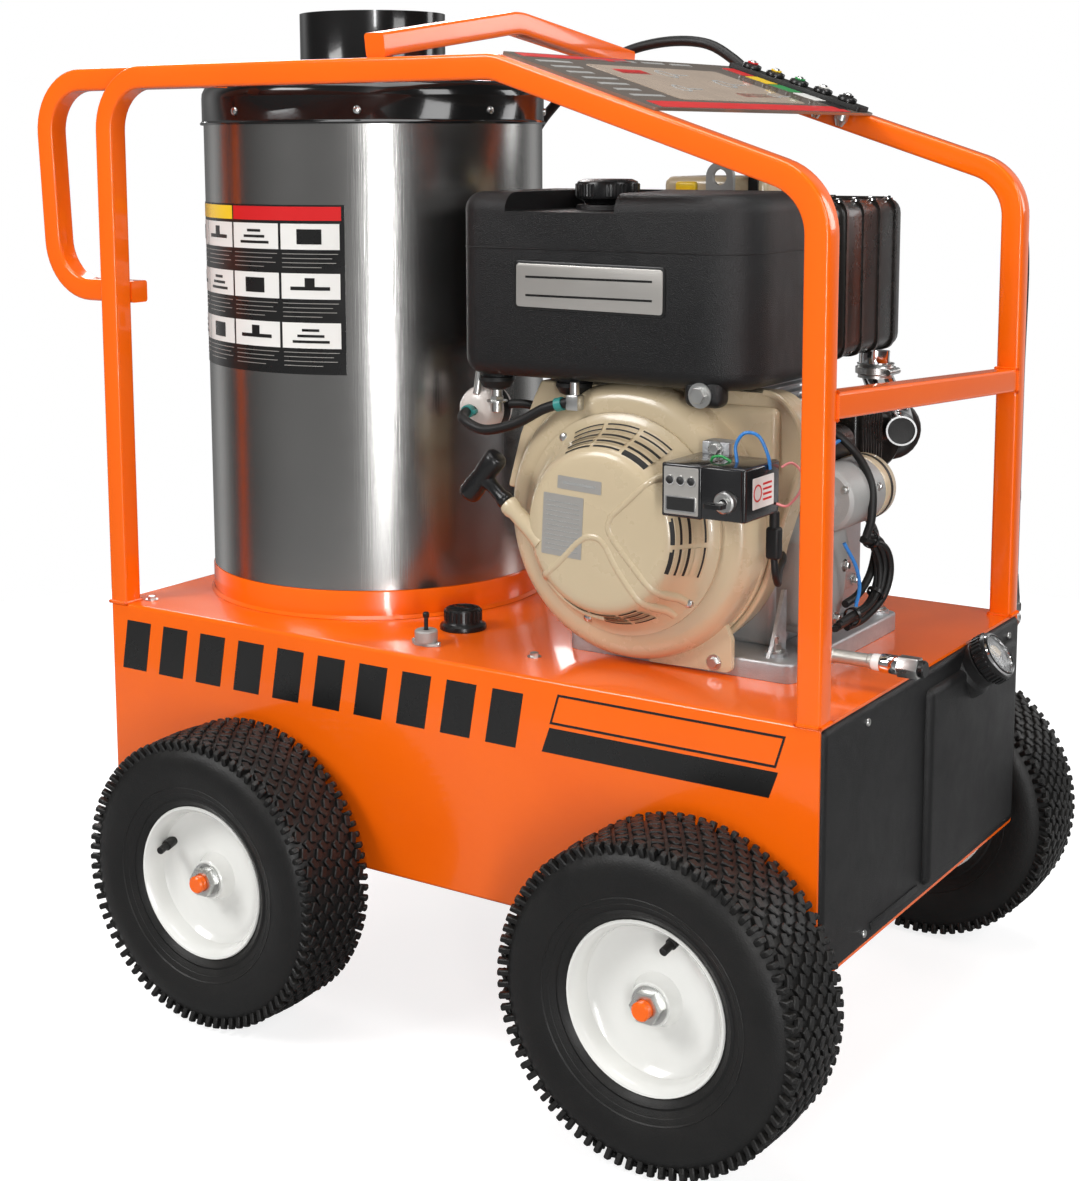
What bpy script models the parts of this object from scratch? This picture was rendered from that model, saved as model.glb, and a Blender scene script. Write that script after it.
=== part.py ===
"""Engine-driven hot-water pressure washer on four wheels.

Metres, +Z up. Design axes: X runs along the machine, from the push handles to the fuel-tank end,
Y across it, and the floor is Z = 0. Every object hangs from one empty, which puts the centre of
the whole machine's footprint at the world origin.
"""

from math import cos, pi, radians, sin, sqrt, tan

import bmesh
import bpy
from mathutils import Matrix, Vector

# ---- Driving dimensions ---------------------------------------------------------------------
GAP = 0.0003            # between pieces that touch
TUBE = 0.0254           # side of the square frame tube
TUBE_ROUND = 0.0030     # its corner radius
TUBE_BEND = 0.060       # centreline radius of its bends

CHASSIS_LENGTH = 0.923
CHASSIS_WIDTH = 0.533
DECK_TOP = 0.427
AXLE_TO_PAN = 0.0005
SHEET = 0.003

FRAME_TOP = 1.054       # top of the straight upper rails
SLOPE_START = 0.094     # where the rails start to fall
SLOPE_DROP = 0.327      # fall per metre of the sloping stretch
CROSS_BAR_FRONT = 0.726
CROSS_BAR_BACK = 0.699
CROSS_BAR_CLEARANCE = 0.0012
LIFTING_BAR_X = -0.060
LIFTING_BAR_APEX = 1.113

HANDLE_STAND_OFF = 0.1285 # from the chassis end to the outside of the push handle
HANDLE_LOW = 0.795
HANDLE_TOP_END = -0.300
HANDLE_LEAN = 0.012
HANDLE_STRAIGHT = 0.930 # height down to which its outer tube is upright

PANEL_THICK = 0.003
PANEL_LENGTH = 0.186
NOZZLE_PITCH = 0.0325
NOZZLE_RADIUS = 0.0085
NOZZLE_CLEARANCE = 0.0006
HOLDER_HEIGHT = 0.005
NOZZLE_REACH = 0.015      # how far the holder's cutters pass its faces
HOLDER_STAND_OFF = 0.0093 # from the rail's inner face to the row of nozzles

TYRE_RADIUS = 0.165
TYRE_WIDTH = 0.112
WHEEL_GAP = 0.0125      # between the chassis side and the tyre
FRONT_WHEEL_X = 0.339
REAR_WHEEL_X = -0.222
RIM_RADIUS = 0.085
RIM_WIDTH = 0.086
AXLE_RADIUS = 0.0095
AXLE_CLEARANCE = 0.0004
WHEEL_SIDES = 24

BURNER_X = -0.2625
SHELL_RADIUS = 0.2035
SHELL_WALL = 0.0015
RING_HEIGHT = 0.033
SHELL_TOP = 0.998
LID_BRIM = 0.988
LID_TOP = 1.037
BRIM_OVERHANG = 0.0045
STACK_RADIUS = 0.087
STACK_TOP = 1.119
COIL_TURNS = 5
COIL_TUBE = 0.012
COIL_RISE = 0.048
COIL_START = 0.110

CRANK_X = 0.197
CRANK_Z = 0.5775
CRANK_RADIUS = 0.014
BEARING_CLEARANCE = 0.0005
SHROUD_RADIUS = 0.1455
SHROUD_FRONT = -0.182
SHROUD_BACK = -0.1353
SHROUD_WALL = 0.0025
RECOIL_RADIUS = 0.116
RECOIL_FRONT = -0.232
PULLEY_RADIUS = 0.061
ROPE_Y = -0.2215
ROPE_ANGLE = radians(140.3)
ROPE_RADIUS = 0.0022
GRIP_RADIUS = 0.0128
GRIP_LENGTH = 0.062
GRIP_STEM = 0.027

ENGINE_BACK = 0.120
ENGINE_TANK_LOW = (0.005, -0.205, 0.7235)
ENGINE_TANK_HIGH = (0.348, -0.018, 0.916)
ENGINE_CAP_PLACE = (0.132, -0.105)
ENGINE_CAP_RADIUS = 0.034
CAP_POCKET = 0.014

FILLER_Y = 0.105
FILLER_Z = 0.396
FILLER_TILT = radians(35)
FILLER_RADIUS = 0.024
FILLER_CAP_RADIUS = 0.029
FILLER_DIAL_RADIUS = 0.0225
FILLER_CAP_DEPTH = 0.022
FILLER_LENGTH = 0.020
CAP_EDGE = 0.003        # chamfer of the filler cap's top
TANK_BULGE = 0.008

DECK_CAP_PLACE = (-0.034, -0.142)
DECK_CAP_RADIUS = 0.0265
GAUGE_PLACE = (-0.026, -0.222)
HOSE_RADIUS = 0.0065
COIL_PORT_ANGLE = radians(86)
COIL_PORT_Z = 0.895
HOSE_TURN = 0.053          # its bend radius at the coil's port
HOSE_END_HEIGHT = 0.014   # above the deck, where it meets its outlet fitting
HOSE_STAND_OFF = 0.0155 # from the chassis side to the hose's middle
HARNESS_RADIUS = 0.009

# ---- Sizes that follow ----------------------------------------------------------------------
HALF_LENGTH = CHASSIS_LENGTH / 2
HALF_WIDTH = CHASSIS_WIDTH / 2
PAN_BOTTOM = TYRE_RADIUS + AXLE_RADIUS + AXLE_TO_PAN
HOSE_Y = HALF_WIDTH + HOSE_STAND_OFF
HANDLE_REACH = HALF_LENGTH + HANDLE_STAND_OFF
BRIM_RADIUS = SHELL_RADIUS + BRIM_OVERHANG
HALF_TUBE = TUBE / 2
WHEEL_Y = HALF_WIDTH + WHEEL_GAP + TYRE_WIDTH / 2
FRAME_Y = HALF_WIDTH - HALF_TUBE
RAIL_Z = FRAME_TOP - HALF_TUBE
POST_X = HALF_LENGTH - HALF_TUBE
HANDLE_Y = FRAME_Y - TUBE - GAP
DECK_BOTTOM = DECK_TOP - SHEET
SLOPE = Vector((1, 0, -SLOPE_DROP)).normalized()
SLOPE_NORMAL = Vector((SLOPE_DROP, 0, 1)).normalized()
ROPE_DIRECTION = Vector((cos(ROPE_ANGLE), 0, sin(ROPE_ANGLE)))
TANK_END = HALF_LENGTH + 0.004
FILLER_AXIS = Vector((cos(FILLER_TILT), 0, sin(FILLER_TILT)))
FILLER_MOUTH = Vector((TANK_END, FILLER_Y, FILLER_Z)) + FILLER_LENGTH * FILLER_AXIS
FILLER_CAP_TOP = FILLER_MOUTH + (GAP + FILLER_CAP_DEPTH) * FILLER_AXIS
RIGHT_END = FILLER_CAP_TOP.x + (FILLER_CAP_RADIUS - CAP_EDGE) * sin(FILLER_TILT)
CENTRE_X = (RIGHT_END - HANDLE_REACH) / 2


# ---- Scene and materials --------------------------------------------------------------------
def clear_scene():
    for obj in list(bpy.data.objects):
        bpy.data.objects.remove(obj, do_unlink=True)


def new_collection(name):
    collection = bpy.data.collections.new(name)
    bpy.context.scene.collection.children.link(collection)
    return collection


def make_material(name, colour, roughness, metallic=0.0):
    material = bpy.data.materials.new(name)
    material.use_nodes = True
    shader = material.node_tree.nodes["Principled BSDF"]
    shader.inputs["Base Color"].default_value = (*colour, 1)
    shader.inputs["Roughness"].default_value = roughness
    shader.inputs["Metallic"].default_value = metallic
    return material


clear_scene()
PARTS = new_collection("pressure_washer")
CUTTERS = new_collection("cutters")
ROOT = bpy.data.objects.new("footprint_centre", None)
ROOT.location = (-CENTRE_X, 0, 0)
PARTS.objects.link(ROOT)

ORANGE = (0.90, 0.16, 0.01)
BLACK = (0.015, 0.015, 0.015)
TAN = (0.60, 0.50, 0.37)
GREY_METAL = (0.55, 0.56, 0.57)


# ---- Building tools -------------------------------------------------------------------------
def finish(obj, colour, roughness=0.5, metallic=0.0):
    """Puts a finished piece in the machine, with a material of its own."""
    obj.data.materials.clear()
    obj.data.materials.append(make_material(obj.name + "_material", colour, roughness, metallic))
    for collection in list(obj.users_collection):
        collection.objects.unlink(obj)
    PARTS.objects.link(obj)
    obj.parent = ROOT
    return obj


def as_cutter(obj):
    for collection in list(obj.users_collection):
        collection.objects.unlink(obj)
    CUTTERS.objects.link(obj)
    obj.hide_render = True
    obj.display_type = "WIRE"
    obj.parent = ROOT
    return obj


def boolean(obj, other, operation):
    as_cutter(other)
    modifier = obj.modifiers.new(operation.lower() + "_" + other.name, "BOOLEAN")
    modifier.operation = operation
    modifier.object = other
    modifier.solver = "EXACT"


def cut(obj, cutter):
    boolean(obj, cutter, "DIFFERENCE")


def join(obj, other):
    boolean(obj, other, "UNION")


def bevel(obj, width, segments=2, angle=radians(40)):
    modifier = obj.modifiers.new("rounded_edges", "BEVEL")
    modifier.width = width
    modifier.segments = segments
    modifier.limit_method = "ANGLE"
    modifier.angle_limit = angle


def block(name, low, high, rounding=0.0, segments=2):
    """A box between two corners, with its origin at its centre."""
    low = Vector(low)
    high = Vector(high)
    bpy.ops.mesh.primitive_cube_add(size=1, location=(low + high) / 2)
    obj = bpy.context.object
    obj.name = name
    obj.data.transform(Matrix.Diagonal((*(high - low), 1)))
    if rounding:
        bevel(obj, rounding, segments)
    return obj


def smooth_sides(mesh):
    mesh.shade_smooth()
    mesh.set_sharp_from_angle(angle=radians(35))


def point_along(obj, direction):
    obj.rotation_mode = "QUATERNION"
    obj.rotation_quaternion = Vector((0, 0, 1)).rotation_difference(Vector(direction))


def rod(name, start, end, radius, sides=24):
    """A round bar between two points, with its origin at its start."""
    start = Vector(start)
    end = Vector(end)
    length = (end - start).length
    bpy.ops.mesh.primitive_cylinder_add(vertices=sides, radius=radius, depth=length)
    obj = bpy.context.object
    obj.name = name
    obj.data.transform(Matrix.Translation((0, 0, length / 2)))
    smooth_sides(obj.data)
    obj.location = start
    point_along(obj, end - start)
    return obj


def turned(name, profile, place=(0, 0, 0), direction=(0, 0, 1), steps=32, closed=False):
    """Turns (radius, height) points, given down the outer side, about their own Z axis."""
    mesh = bpy.data.meshes.new(name)
    build = bmesh.new()
    corners = [build.verts.new((radius, 0, height)) for radius, height in profile]
    pairs = list(zip(corners, corners[1:]))
    if closed:
        pairs.append((corners[-1], corners[0]))
    for pair in pairs:
        build.edges.new(pair)
    build.to_mesh(mesh)
    build.free()
    obj = bpy.data.objects.new(name, mesh)
    CUTTERS.objects.link(obj)
    obj.location = place
    point_along(obj, direction)
    screw = obj.modifiers.new("turning", "SCREW")
    screw.axis = "Z"
    screw.steps = steps
    screw.render_steps = steps
    screw.use_merge_vertices = True
    screw.merge_threshold = 0.00001
    screw.use_smooth_shade = True
    return obj


def turned_about_y(name, profile, place=(0, 0), steps=32, closed=False):
    """Turns (radius, distance towards the front) points about a line along Y."""
    return turned(name, profile, (place[0], 0, place[1]), (0, -1, 0), steps, closed)


def rounded_path(points, radius, steps=5):
    """Replaces each inner corner of a path with an arc."""
    points = [Vector(point) for point in points]
    path = [points[0]]
    for before, corner, after in zip(points, points[1:], points[2:]):
        back = (before - corner).normalized()
        ahead = (after - corner).normalized()
        half = back.angle(ahead) / 2
        reach = radius / tan(half)
        centre = corner + (back + ahead).normalized() * radius / sin(half)
        start = corner + back * reach - centre
        turn = pi - 2 * half
        axis = start.cross(corner + ahead * reach - centre)
        for step in range(steps + 1):
            path.append(centre + Matrix.Rotation(turn * step / steps, 3, axis) @ start)
    path.append(points[-1])
    return path


def smooth_path(points, spacing):
    """Reads evenly spaced points from a smooth curve through the given ones."""
    points = [Vector(point) for point in points]
    ends = [2 * points[0] - points[1]] + points + [2 * points[-1] - points[-2]]
    path = []
    for a, b, c, d in zip(ends, ends[1:], ends[2:], ends[3:]):
        count = max(1, round((c - b).length / spacing))
        for step in range(count):
            t = step / count
            bend = (-a + 3 * b - 3 * c + d) * t + (2 * a - 5 * b + 4 * c - d)
            path.append(b + t * ((c - a) + t * bend) / 2)
    path.append(points[-1])
    return path


def path_curve(name, points):
    data = bpy.data.curves.new(name, "CURVE")
    data.dimensions = "3D"
    data.use_fill_caps = True
    spline = data.splines.new("POLY")
    spline.points.add(len(points) - 1)
    for point, place in zip(spline.points, points):
        point.co = (*place, 1)
    spline.use_smooth = True
    obj = bpy.data.objects.new(name, data)
    CUTTERS.objects.link(obj)
    return obj


def square_section():
    """The section of the frame tube, with a flat across each corner."""
    data = bpy.data.curves.new("tube_section", "CURVE")
    data.dimensions = "2D"
    spline = data.splines.new("POLY")
    spline.use_cyclic_u = True
    near = HALF_TUBE - TUBE_ROUND
    corners = []
    for x, y in ((1, 1), (1, -1), (-1, -1), (-1, 1)):
        pair = [(x * near, y * HALF_TUBE), (x * HALF_TUBE, y * near)]
        corners += pair if x * y > 0 else pair[::-1]
    spline.points.add(len(corners) - 1)
    for point, (x, y) in zip(spline.points, corners):
        point.co = (x, y, 0, 1)
    return as_cutter(bpy.data.objects.new("tube_section", data))


def square_tube(name, points):
    obj = path_curve(name, points)
    obj.data.bevel_mode = "OBJECT"
    obj.data.bevel_object = SECTION
    return obj


def round_tube(name, points, radius, resolution=2):
    obj = path_curve(name, points)
    obj.data.bevel_depth = radius
    obj.data.bevel_resolution = resolution
    return obj


def as_mesh(curve):
    """Makes a curve a closed mesh, so that it can be cut."""
    graph = bpy.context.evaluated_depsgraph_get()
    bpy.context.view_layer.update()
    mesh = bpy.data.meshes.new_from_object(curve.evaluated_get(graph))
    build = bmesh.new()
    build.from_mesh(mesh)
    bmesh.ops.remove_doubles(build, verts=build.verts, dist=0.00001)
    bmesh.ops.recalc_face_normals(build, faces=build.faces)
    build.to_mesh(mesh)
    build.free()
    name = curve.name
    matrix = curve.matrix_world.copy()
    bpy.data.objects.remove(curve, do_unlink=True)
    obj = bpy.data.objects.new(name, mesh)
    obj.matrix_world = matrix
    CUTTERS.objects.link(obj)
    return obj


def plate_xz(name, outlines, y_low, y_high):
    """A flat piece across Y; outlines are lists of (x, z), the later ones being holes."""
    data = bpy.data.curves.new(name, "CURVE")
    data.dimensions = "2D"
    data.fill_mode = "BOTH"
    data.extrude = (y_high - y_low) / 2
    for outline in outlines:
        spline = data.splines.new("POLY")
        spline.use_cyclic_u = True
        spline.points.add(len(outline) - 1)
        for point, (x, z) in zip(spline.points, outline):
            point.co = (x, z, 0, 1)
    obj = bpy.data.objects.new(name, data)
    obj.location = (0, (y_low + y_high) / 2, 0)
    obj.rotation_euler = (pi / 2, 0, 0)
    CUTTERS.objects.link(obj)
    return obj


def arc(centre, radius, start, end, steps):
    """Points of an arc in a plane, with its angles in degrees."""
    points = []
    for step in range(steps + 1):
        angle = radians(start + (end - start) * step / steps)
        points.append((centre[0] + radius * cos(angle), centre[1] + radius * sin(angle)))
    return points


SECTION = square_section()


# ---- Chassis and frame ----------------------------------------------------------------------
def make_chassis():
    deck = block("deck", (-HALF_LENGTH, -HALF_WIDTH, DECK_BOTTOM), (HALF_LENGTH, HALF_WIDTH, DECK_TOP))
    finish(deck, ORANGE, 0.3)
    pan = block("chassis_pan", (-HALF_LENGTH, -HALF_WIDTH, PAN_BOTTOM),
                (HALF_LENGTH, HALF_WIDTH, DECK_BOTTOM - GAP))
    inside = block("pan_inside", (-HALF_LENGTH + SHEET, -HALF_WIDTH + SHEET, PAN_BOTTOM + SHEET),
                   (HALF_LENGTH + SHEET, HALF_WIDTH - SHEET, DECK_TOP))
    cut(pan, inside)
    finish(pan, ORANGE, 0.3)


def side_frame_points(y):
    low = DECK_TOP + GAP
    slope_z = RAIL_Z - SLOPE_DROP * (POST_X - SLOPE_START)
    return rounded_path([(-POST_X, y, low), (-POST_X, y, RAIL_Z), (SLOPE_START, y, RAIL_Z),
                         (POST_X, y, slope_z), (POST_X, y, low)], TUBE_BEND, 5)


def handle_points(y):
    outside = -HANDLE_REACH + HALF_TUBE
    return rounded_path([(HANDLE_TOP_END, y, RAIL_Z), (outside, y, RAIL_Z), (outside, y, HANDLE_STRAIGHT),
                         (outside + HANDLE_LEAN, y, HANDLE_LOW), (-HALF_LENGTH + TUBE, y, HANDLE_LOW)],
                        TUBE_BEND, 5)


def make_frame():
    for side, sign in (("front", -1), ("back", 1)):
        finish(square_tube("side_frame_" + side, side_frame_points(sign * FRAME_Y)), ORANGE, 0.3)
        finish(square_tube("push_handle_" + side, handle_points(sign * HANDLE_Y)), ORANGE, 0.3)
    reach = HALF_WIDTH - TUBE - CROSS_BAR_CLEARANCE
    cross_bar = square_tube("cross_bar", [(POST_X, -reach, CROSS_BAR_FRONT),
                                          (POST_X, reach, CROSS_BAR_BACK)])
    finish(cross_bar, ORANGE, 0.3)
    apex = LIFTING_BAR_APEX - HALF_TUBE
    foot = FRAME_TOP + GAP + HALF_TUBE
    path = rounded_path([(LIFTING_BAR_X, -FRAME_Y, foot), (LIFTING_BAR_X, 0, apex),
                         (LIFTING_BAR_X, FRAME_Y, foot)], 2 * TUBE_BEND, 5)
    finish(square_tube("lifting_bar", path), ORANGE, 0.3)


# ---- Instruction panel and nozzles ----------------------------------------------------------
def on_panel(along, y, height):
    """A point measured down the slope from its top, across, and up from the rails' top face."""
    rail_top = Vector((SLOPE_START, y, RAIL_Z)) + HALF_TUBE * SLOPE_NORMAL
    return rail_top + along * SLOPE + height * SLOPE_NORMAL


def panel_block(name, along, y, height, size, rounding=0.0):
    """A box that lies in the panel's plane, given its middle and its three sizes."""
    obj = block(name, [-side / 2 for side in size], [side / 2 for side in size], rounding)
    obj.location = on_panel(along, y, height)
    point_along(obj, SLOPE_NORMAL)
    return obj


def make_panel():
    middle = PANEL_LENGTH / 2
    panel = panel_block("instruction_panel", middle, 0, GAP + PANEL_THICK / 2,
                        (PANEL_LENGTH, 2 * FRAME_Y, PANEL_THICK))
    holder_y = FRAME_Y - HALF_TUBE - HOLDER_STAND_OFF
    holder_base = 2 * GAP + PANEL_THICK
    holder = panel_block("nozzle_holder", middle, holder_y, holder_base + HOLDER_HEIGHT / 2,
                         (PANEL_LENGTH - 0.008, 0.030, HOLDER_HEIGHT), 0.0015)
    bore = NOZZLE_RADIUS + NOZZLE_CLEARANCE
    for index in range(5):
        along = middle + (index - 2) * NOZZLE_PITCH
        low = on_panel(along, holder_y, -NOZZLE_REACH)
        high = on_panel(along, holder_y, holder_base + HOLDER_HEIGHT + NOZZLE_REACH)
        cut(panel, rod("panel_hole_%d" % (index + 1), low, high, bore, 14))
        cut(holder, rod("holder_hole_%d" % (index + 1), low, high, bore, 14))
        seat = holder_base + HOLDER_HEIGHT
        collar = NOZZLE_RADIUS + 0.003
        profile = [(0, 0.010), (0.004, 0.010), (0.006, 0.007), (collar, 0.006), (collar, GAP),
                   (NOZZLE_RADIUS, GAP), (NOZZLE_RADIUS, -0.024), (0.004, -0.030), (0, -0.030)]
        nozzle = turned("nozzle_%d" % (index + 1), profile, on_panel(along, holder_y, seat),
                        SLOPE_NORMAL, 12)
        finish(nozzle, ((0.6, 0.02, 0.02), (0.8, 0.6, 0.03), (0.05, 0.35, 0.08), (0.8, 0.8, 0.8),
                        BLACK)[index], 0.4)
    finish(panel, (0.22, 0.19, 0.17), 0.4)
    finish(holder, BLACK, 0.6)


# ---- Running gear ---------------------------------------------------------------------------
def tyre_profile():
    half = TYRE_WIDTH / 2
    bead = RIM_RADIUS - 0.004 + GAP
    flange = RIM_WIDTH / 2
    seat = flange - 0.007
    return [(TYRE_RADIUS - 0.010, half - 0.010), (TYRE_RADIUS, half - 0.030), (TYRE_RADIUS, -half + 0.030),
            (TYRE_RADIUS - 0.010, -half + 0.010), (0.128, -half), (RIM_RADIUS + 0.004, -flange),
            (bead, -seat), (bead, seat), (RIM_RADIUS + 0.004, flange), (0.128, half)]


def rim_profile():
    half = RIM_WIDTH / 2
    seat = RIM_RADIUS - 0.004
    hub = 0.021
    bore = AXLE_RADIUS + AXLE_CLEARANCE
    return [(RIM_RADIUS - 0.003, half), (RIM_RADIUS, half - 0.003), (seat, half - 0.0063),
            (seat, -half + 0.0063), (RIM_RADIUS, -half + 0.003), (RIM_RADIUS - 0.003, -half),
            (seat - 0.004, -half + 0.004), (seat - 0.004, 0.004), (hub, 0.004), (hub, -half),
            (bore, -half), (bore, half - 0.012), (hub, half - 0.012), (hub, 0.008),
            (0.062, 0.008), (seat - 0.004, half - 0.008)]


def make_wheels():
    for place, x in (("front", FRONT_WHEEL_X), ("rear", REAR_WHEEL_X)):
        for side, sign in (("left", -1), ("right", 1)):
            centre = (x, sign * WHEEL_Y, TYRE_RADIUS)
            outward = (0, sign, 0)
            tyre = turned("tyre_%s_%s" % (place, side), tyre_profile(), centre, outward, WHEEL_SIDES, True)
            finish(tyre, BLACK, 0.8)
            rim = turned("rim_%s_%s" % (place, side), rim_profile(), centre, outward, WHEEL_SIDES, True)
            finish(rim, (0.85, 0.85, 0.83), 0.25)
        make_axle("axle_" + place, x)


def make_axle(name, x):
    """The axle with its two carriers, its wheel nuts and the collars that keep the wheels out."""
    outer = WHEEL_Y + RIM_WIDTH / 2 - 0.012
    inner = WHEEL_Y - RIM_WIDTH / 2
    end = outer + 0.020
    axle = rod(name, (x, -end, TYRE_RADIUS), (x, end, TYRE_RADIUS), AXLE_RADIUS, 12)
    for sign in (-1, 1):
        y = sign * (HALF_WIDTH - 0.045)
        carrier = block("%s_carrier_%d" % (name, sign), (x - 0.022, y - 0.012, TYRE_RADIUS - 0.018),
                        (x + 0.022, y + 0.012, PAN_BOTTOM - GAP))
        join(axle, carrier)
        for kind, start, stop, radius, sides in (("nut", outer + GAP, outer + 0.011, 0.0165, 6),
                                                 ("collar", inner - 0.012, inner - GAP, 0.016, 12)):
            ring = rod("%s_%s_%d" % (name, kind, sign), (x, sign * start, TYRE_RADIUS),
                       (x, sign * stop, TYRE_RADIUS), radius, sides)
            join(axle, ring)
    finish(axle, GREY_METAL, 0.35, 1.0)


# ---- Burner ---------------------------------------------------------------------------------
def make_burner():
    ring_bottom = DECK_TOP + GAP
    ring_top = DECK_TOP + RING_HEIGHT
    ring_radius = SHELL_RADIUS + 0.0015
    place = (BURNER_X, 0, 0)
    inner = SHELL_RADIUS - 0.030
    ring = turned("burner_base_ring", [(ring_radius, ring_top), (ring_radius, ring_bottom),
                                       (inner, ring_bottom), (inner, ring_top)], place, steps=36, closed=True)
    finish(ring, ORANGE, 0.3)
    bottom = ring_top + GAP
    wall = SHELL_RADIUS - SHELL_WALL
    shell = turned("burner_shell", [(SHELL_RADIUS, SHELL_TOP), (SHELL_RADIUS, bottom), (wall, bottom),
                                    (wall, SHELL_TOP)], place, steps=36, closed=True)
    finish(shell, (0.45, 0.45, 0.46), 0.3, 1.0)
    skirt = BRIM_RADIUS - 0.0025
    shoulder = SHELL_RADIUS - 0.012
    hole = STACK_RADIUS - 0.004
    profile = [(shoulder, LID_TOP), (SHELL_RADIUS - 0.002, LID_TOP - 0.006), (SHELL_RADIUS + 0.002, LID_TOP - 0.018),
               (SHELL_RADIUS + 0.002, LID_BRIM + 0.006), (BRIM_RADIUS, LID_BRIM + 0.003), (BRIM_RADIUS, LID_BRIM),
               (skirt, LID_BRIM), (SHELL_RADIUS + GAP, LID_BRIM + 0.003), (SHELL_RADIUS + GAP, SHELL_TOP + GAP),
               (shoulder - 0.002, LID_TOP - 0.012), (hole, LID_TOP - 0.003), (hole, LID_TOP)]
    finish(turned("burner_lid", profile, place, steps=36, closed=True), BLACK, 0.25)
    base = LID_TOP + GAP
    bore = STACK_RADIUS - 0.002
    profile = [(STACK_RADIUS, STACK_TOP), (STACK_RADIUS, base + 0.003), (STACK_RADIUS + 0.010, base + 0.003),
               (STACK_RADIUS + 0.010, base), (bore, base), (bore, STACK_TOP)]
    finish(turned("stack_collar", profile, place, steps=28, closed=True), BLACK, 0.3)
    coil_radius = SHELL_RADIUS - 0.045
    points = []
    per_turn = 12
    rise = COIL_RISE
    for step in range(COIL_TURNS * per_turn + 1):
        angle = 2 * pi * step / per_turn
        points.append((BURNER_X + coil_radius * cos(angle), coil_radius * sin(angle),
                       bottom + COIL_START + rise * step / per_turn))
    finish(round_tube("heating_coil", points, COIL_TUBE), (0.12, 0.10, 0.09), 0.6, 1.0)


# ---- Engine ---------------------------------------------------------------------------------
def make_crankcase():
    base = DECK_TOP + GAP
    foot_right = CRANK_X + 0.179
    crankcase = block("engine_crankcase", (CRANK_X - 0.086, -0.150, base),
                      (foot_right, ENGINE_BACK, base + 0.022), 0.003, 1)
    join(crankcase, block("crankcase_body", (CRANK_X - 0.105, -0.099, base + 0.018),
                          (CRANK_X + 0.135, ENGINE_BACK, 0.640)))
    join(crankcase, block("cylinder", (CRANK_X - 0.085, -0.090, 0.630),
                          (CRANK_X + 0.065, 0.100, ENGINE_TANK_LOW[2] - 0.004)))
    join(crankcase, block("rocker_box", (CRANK_X - 0.060, -0.012, 0.700), (CRANK_X + 0.050, 0.100, 0.744)))
    join(crankcase, block("side_cover", (CRANK_X + 0.130, -0.094, 0.467),
                          (CRANK_X + 0.190, -0.020, 0.562)))
    cut(crankcase, rod("housing_clearance", (CRANK_X, -0.20, CRANK_Z), (CRANK_X, -0.0990, CRANK_Z),
                       SHROUD_RADIUS + 0.005, 40))
    cut(crankcase, rod("crank_bore", (CRANK_X, -0.20, CRANK_Z), (CRANK_X, 0.20, CRANK_Z),
                       CRANK_RADIUS + BEARING_CLEARANCE))
    finish(crankcase, GREY_METAL, 0.45, 1.0)


def make_blower_housing():
    """The tan back plate: round at the flywheel, with a wing that carries air to the cylinder."""
    radius = SHROUD_RADIUS + 0.004
    centre = (CRANK_X, CRANK_Z)
    top = ENGINE_TANK_LOW[2] - 0.006
    right = ENGINE_TANK_HIGH[0] + 0.030
    outline = arc(centre, radius, 135, 352, 22)
    outline += arc((right - 0.045, top - 0.060), 0.045, 0, 90, 5)
    outline.append((CRANK_X - 0.085, top))
    hole = arc(centre, CRANK_RADIUS + 0.002, 0, 345, 23)
    plate = plate_xz("blower_housing", [outline, hole], SHROUD_BACK + GAP, -0.0993)
    finish(plate, TAN, 0.35)


def make_shroud():
    """The front of the blower housing: a round drum that is open at the back."""
    front = -SHROUD_FRONT
    back = -SHROUD_BACK
    wall = SHROUD_WALL
    mouth = RECOIL_RADIUS - 0.014
    profile = [(mouth, front), (SHROUD_RADIUS - 0.014, front), (SHROUD_RADIUS - 0.004, front - 0.004),
               (SHROUD_RADIUS, front - 0.014), (SHROUD_RADIUS, back), (SHROUD_RADIUS - wall, back),
               (SHROUD_RADIUS - wall, front - 0.014), (SHROUD_RADIUS - 0.014, front - wall), (mouth, front - wall)]
    shroud = turned_about_y("fan_shroud", profile, (CRANK_X, CRANK_Z), 36, True)
    finish(shroud, TAN, 0.35)


def rope_point(along):
    """A point on the starter rope's line, measured from where it leaves the pulley."""
    side = Vector((-ROPE_DIRECTION.z, 0, ROPE_DIRECTION.x))
    return Vector((CRANK_X, ROPE_Y, CRANK_Z)) + PULLEY_RADIUS * side + along * ROPE_DIRECTION


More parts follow.
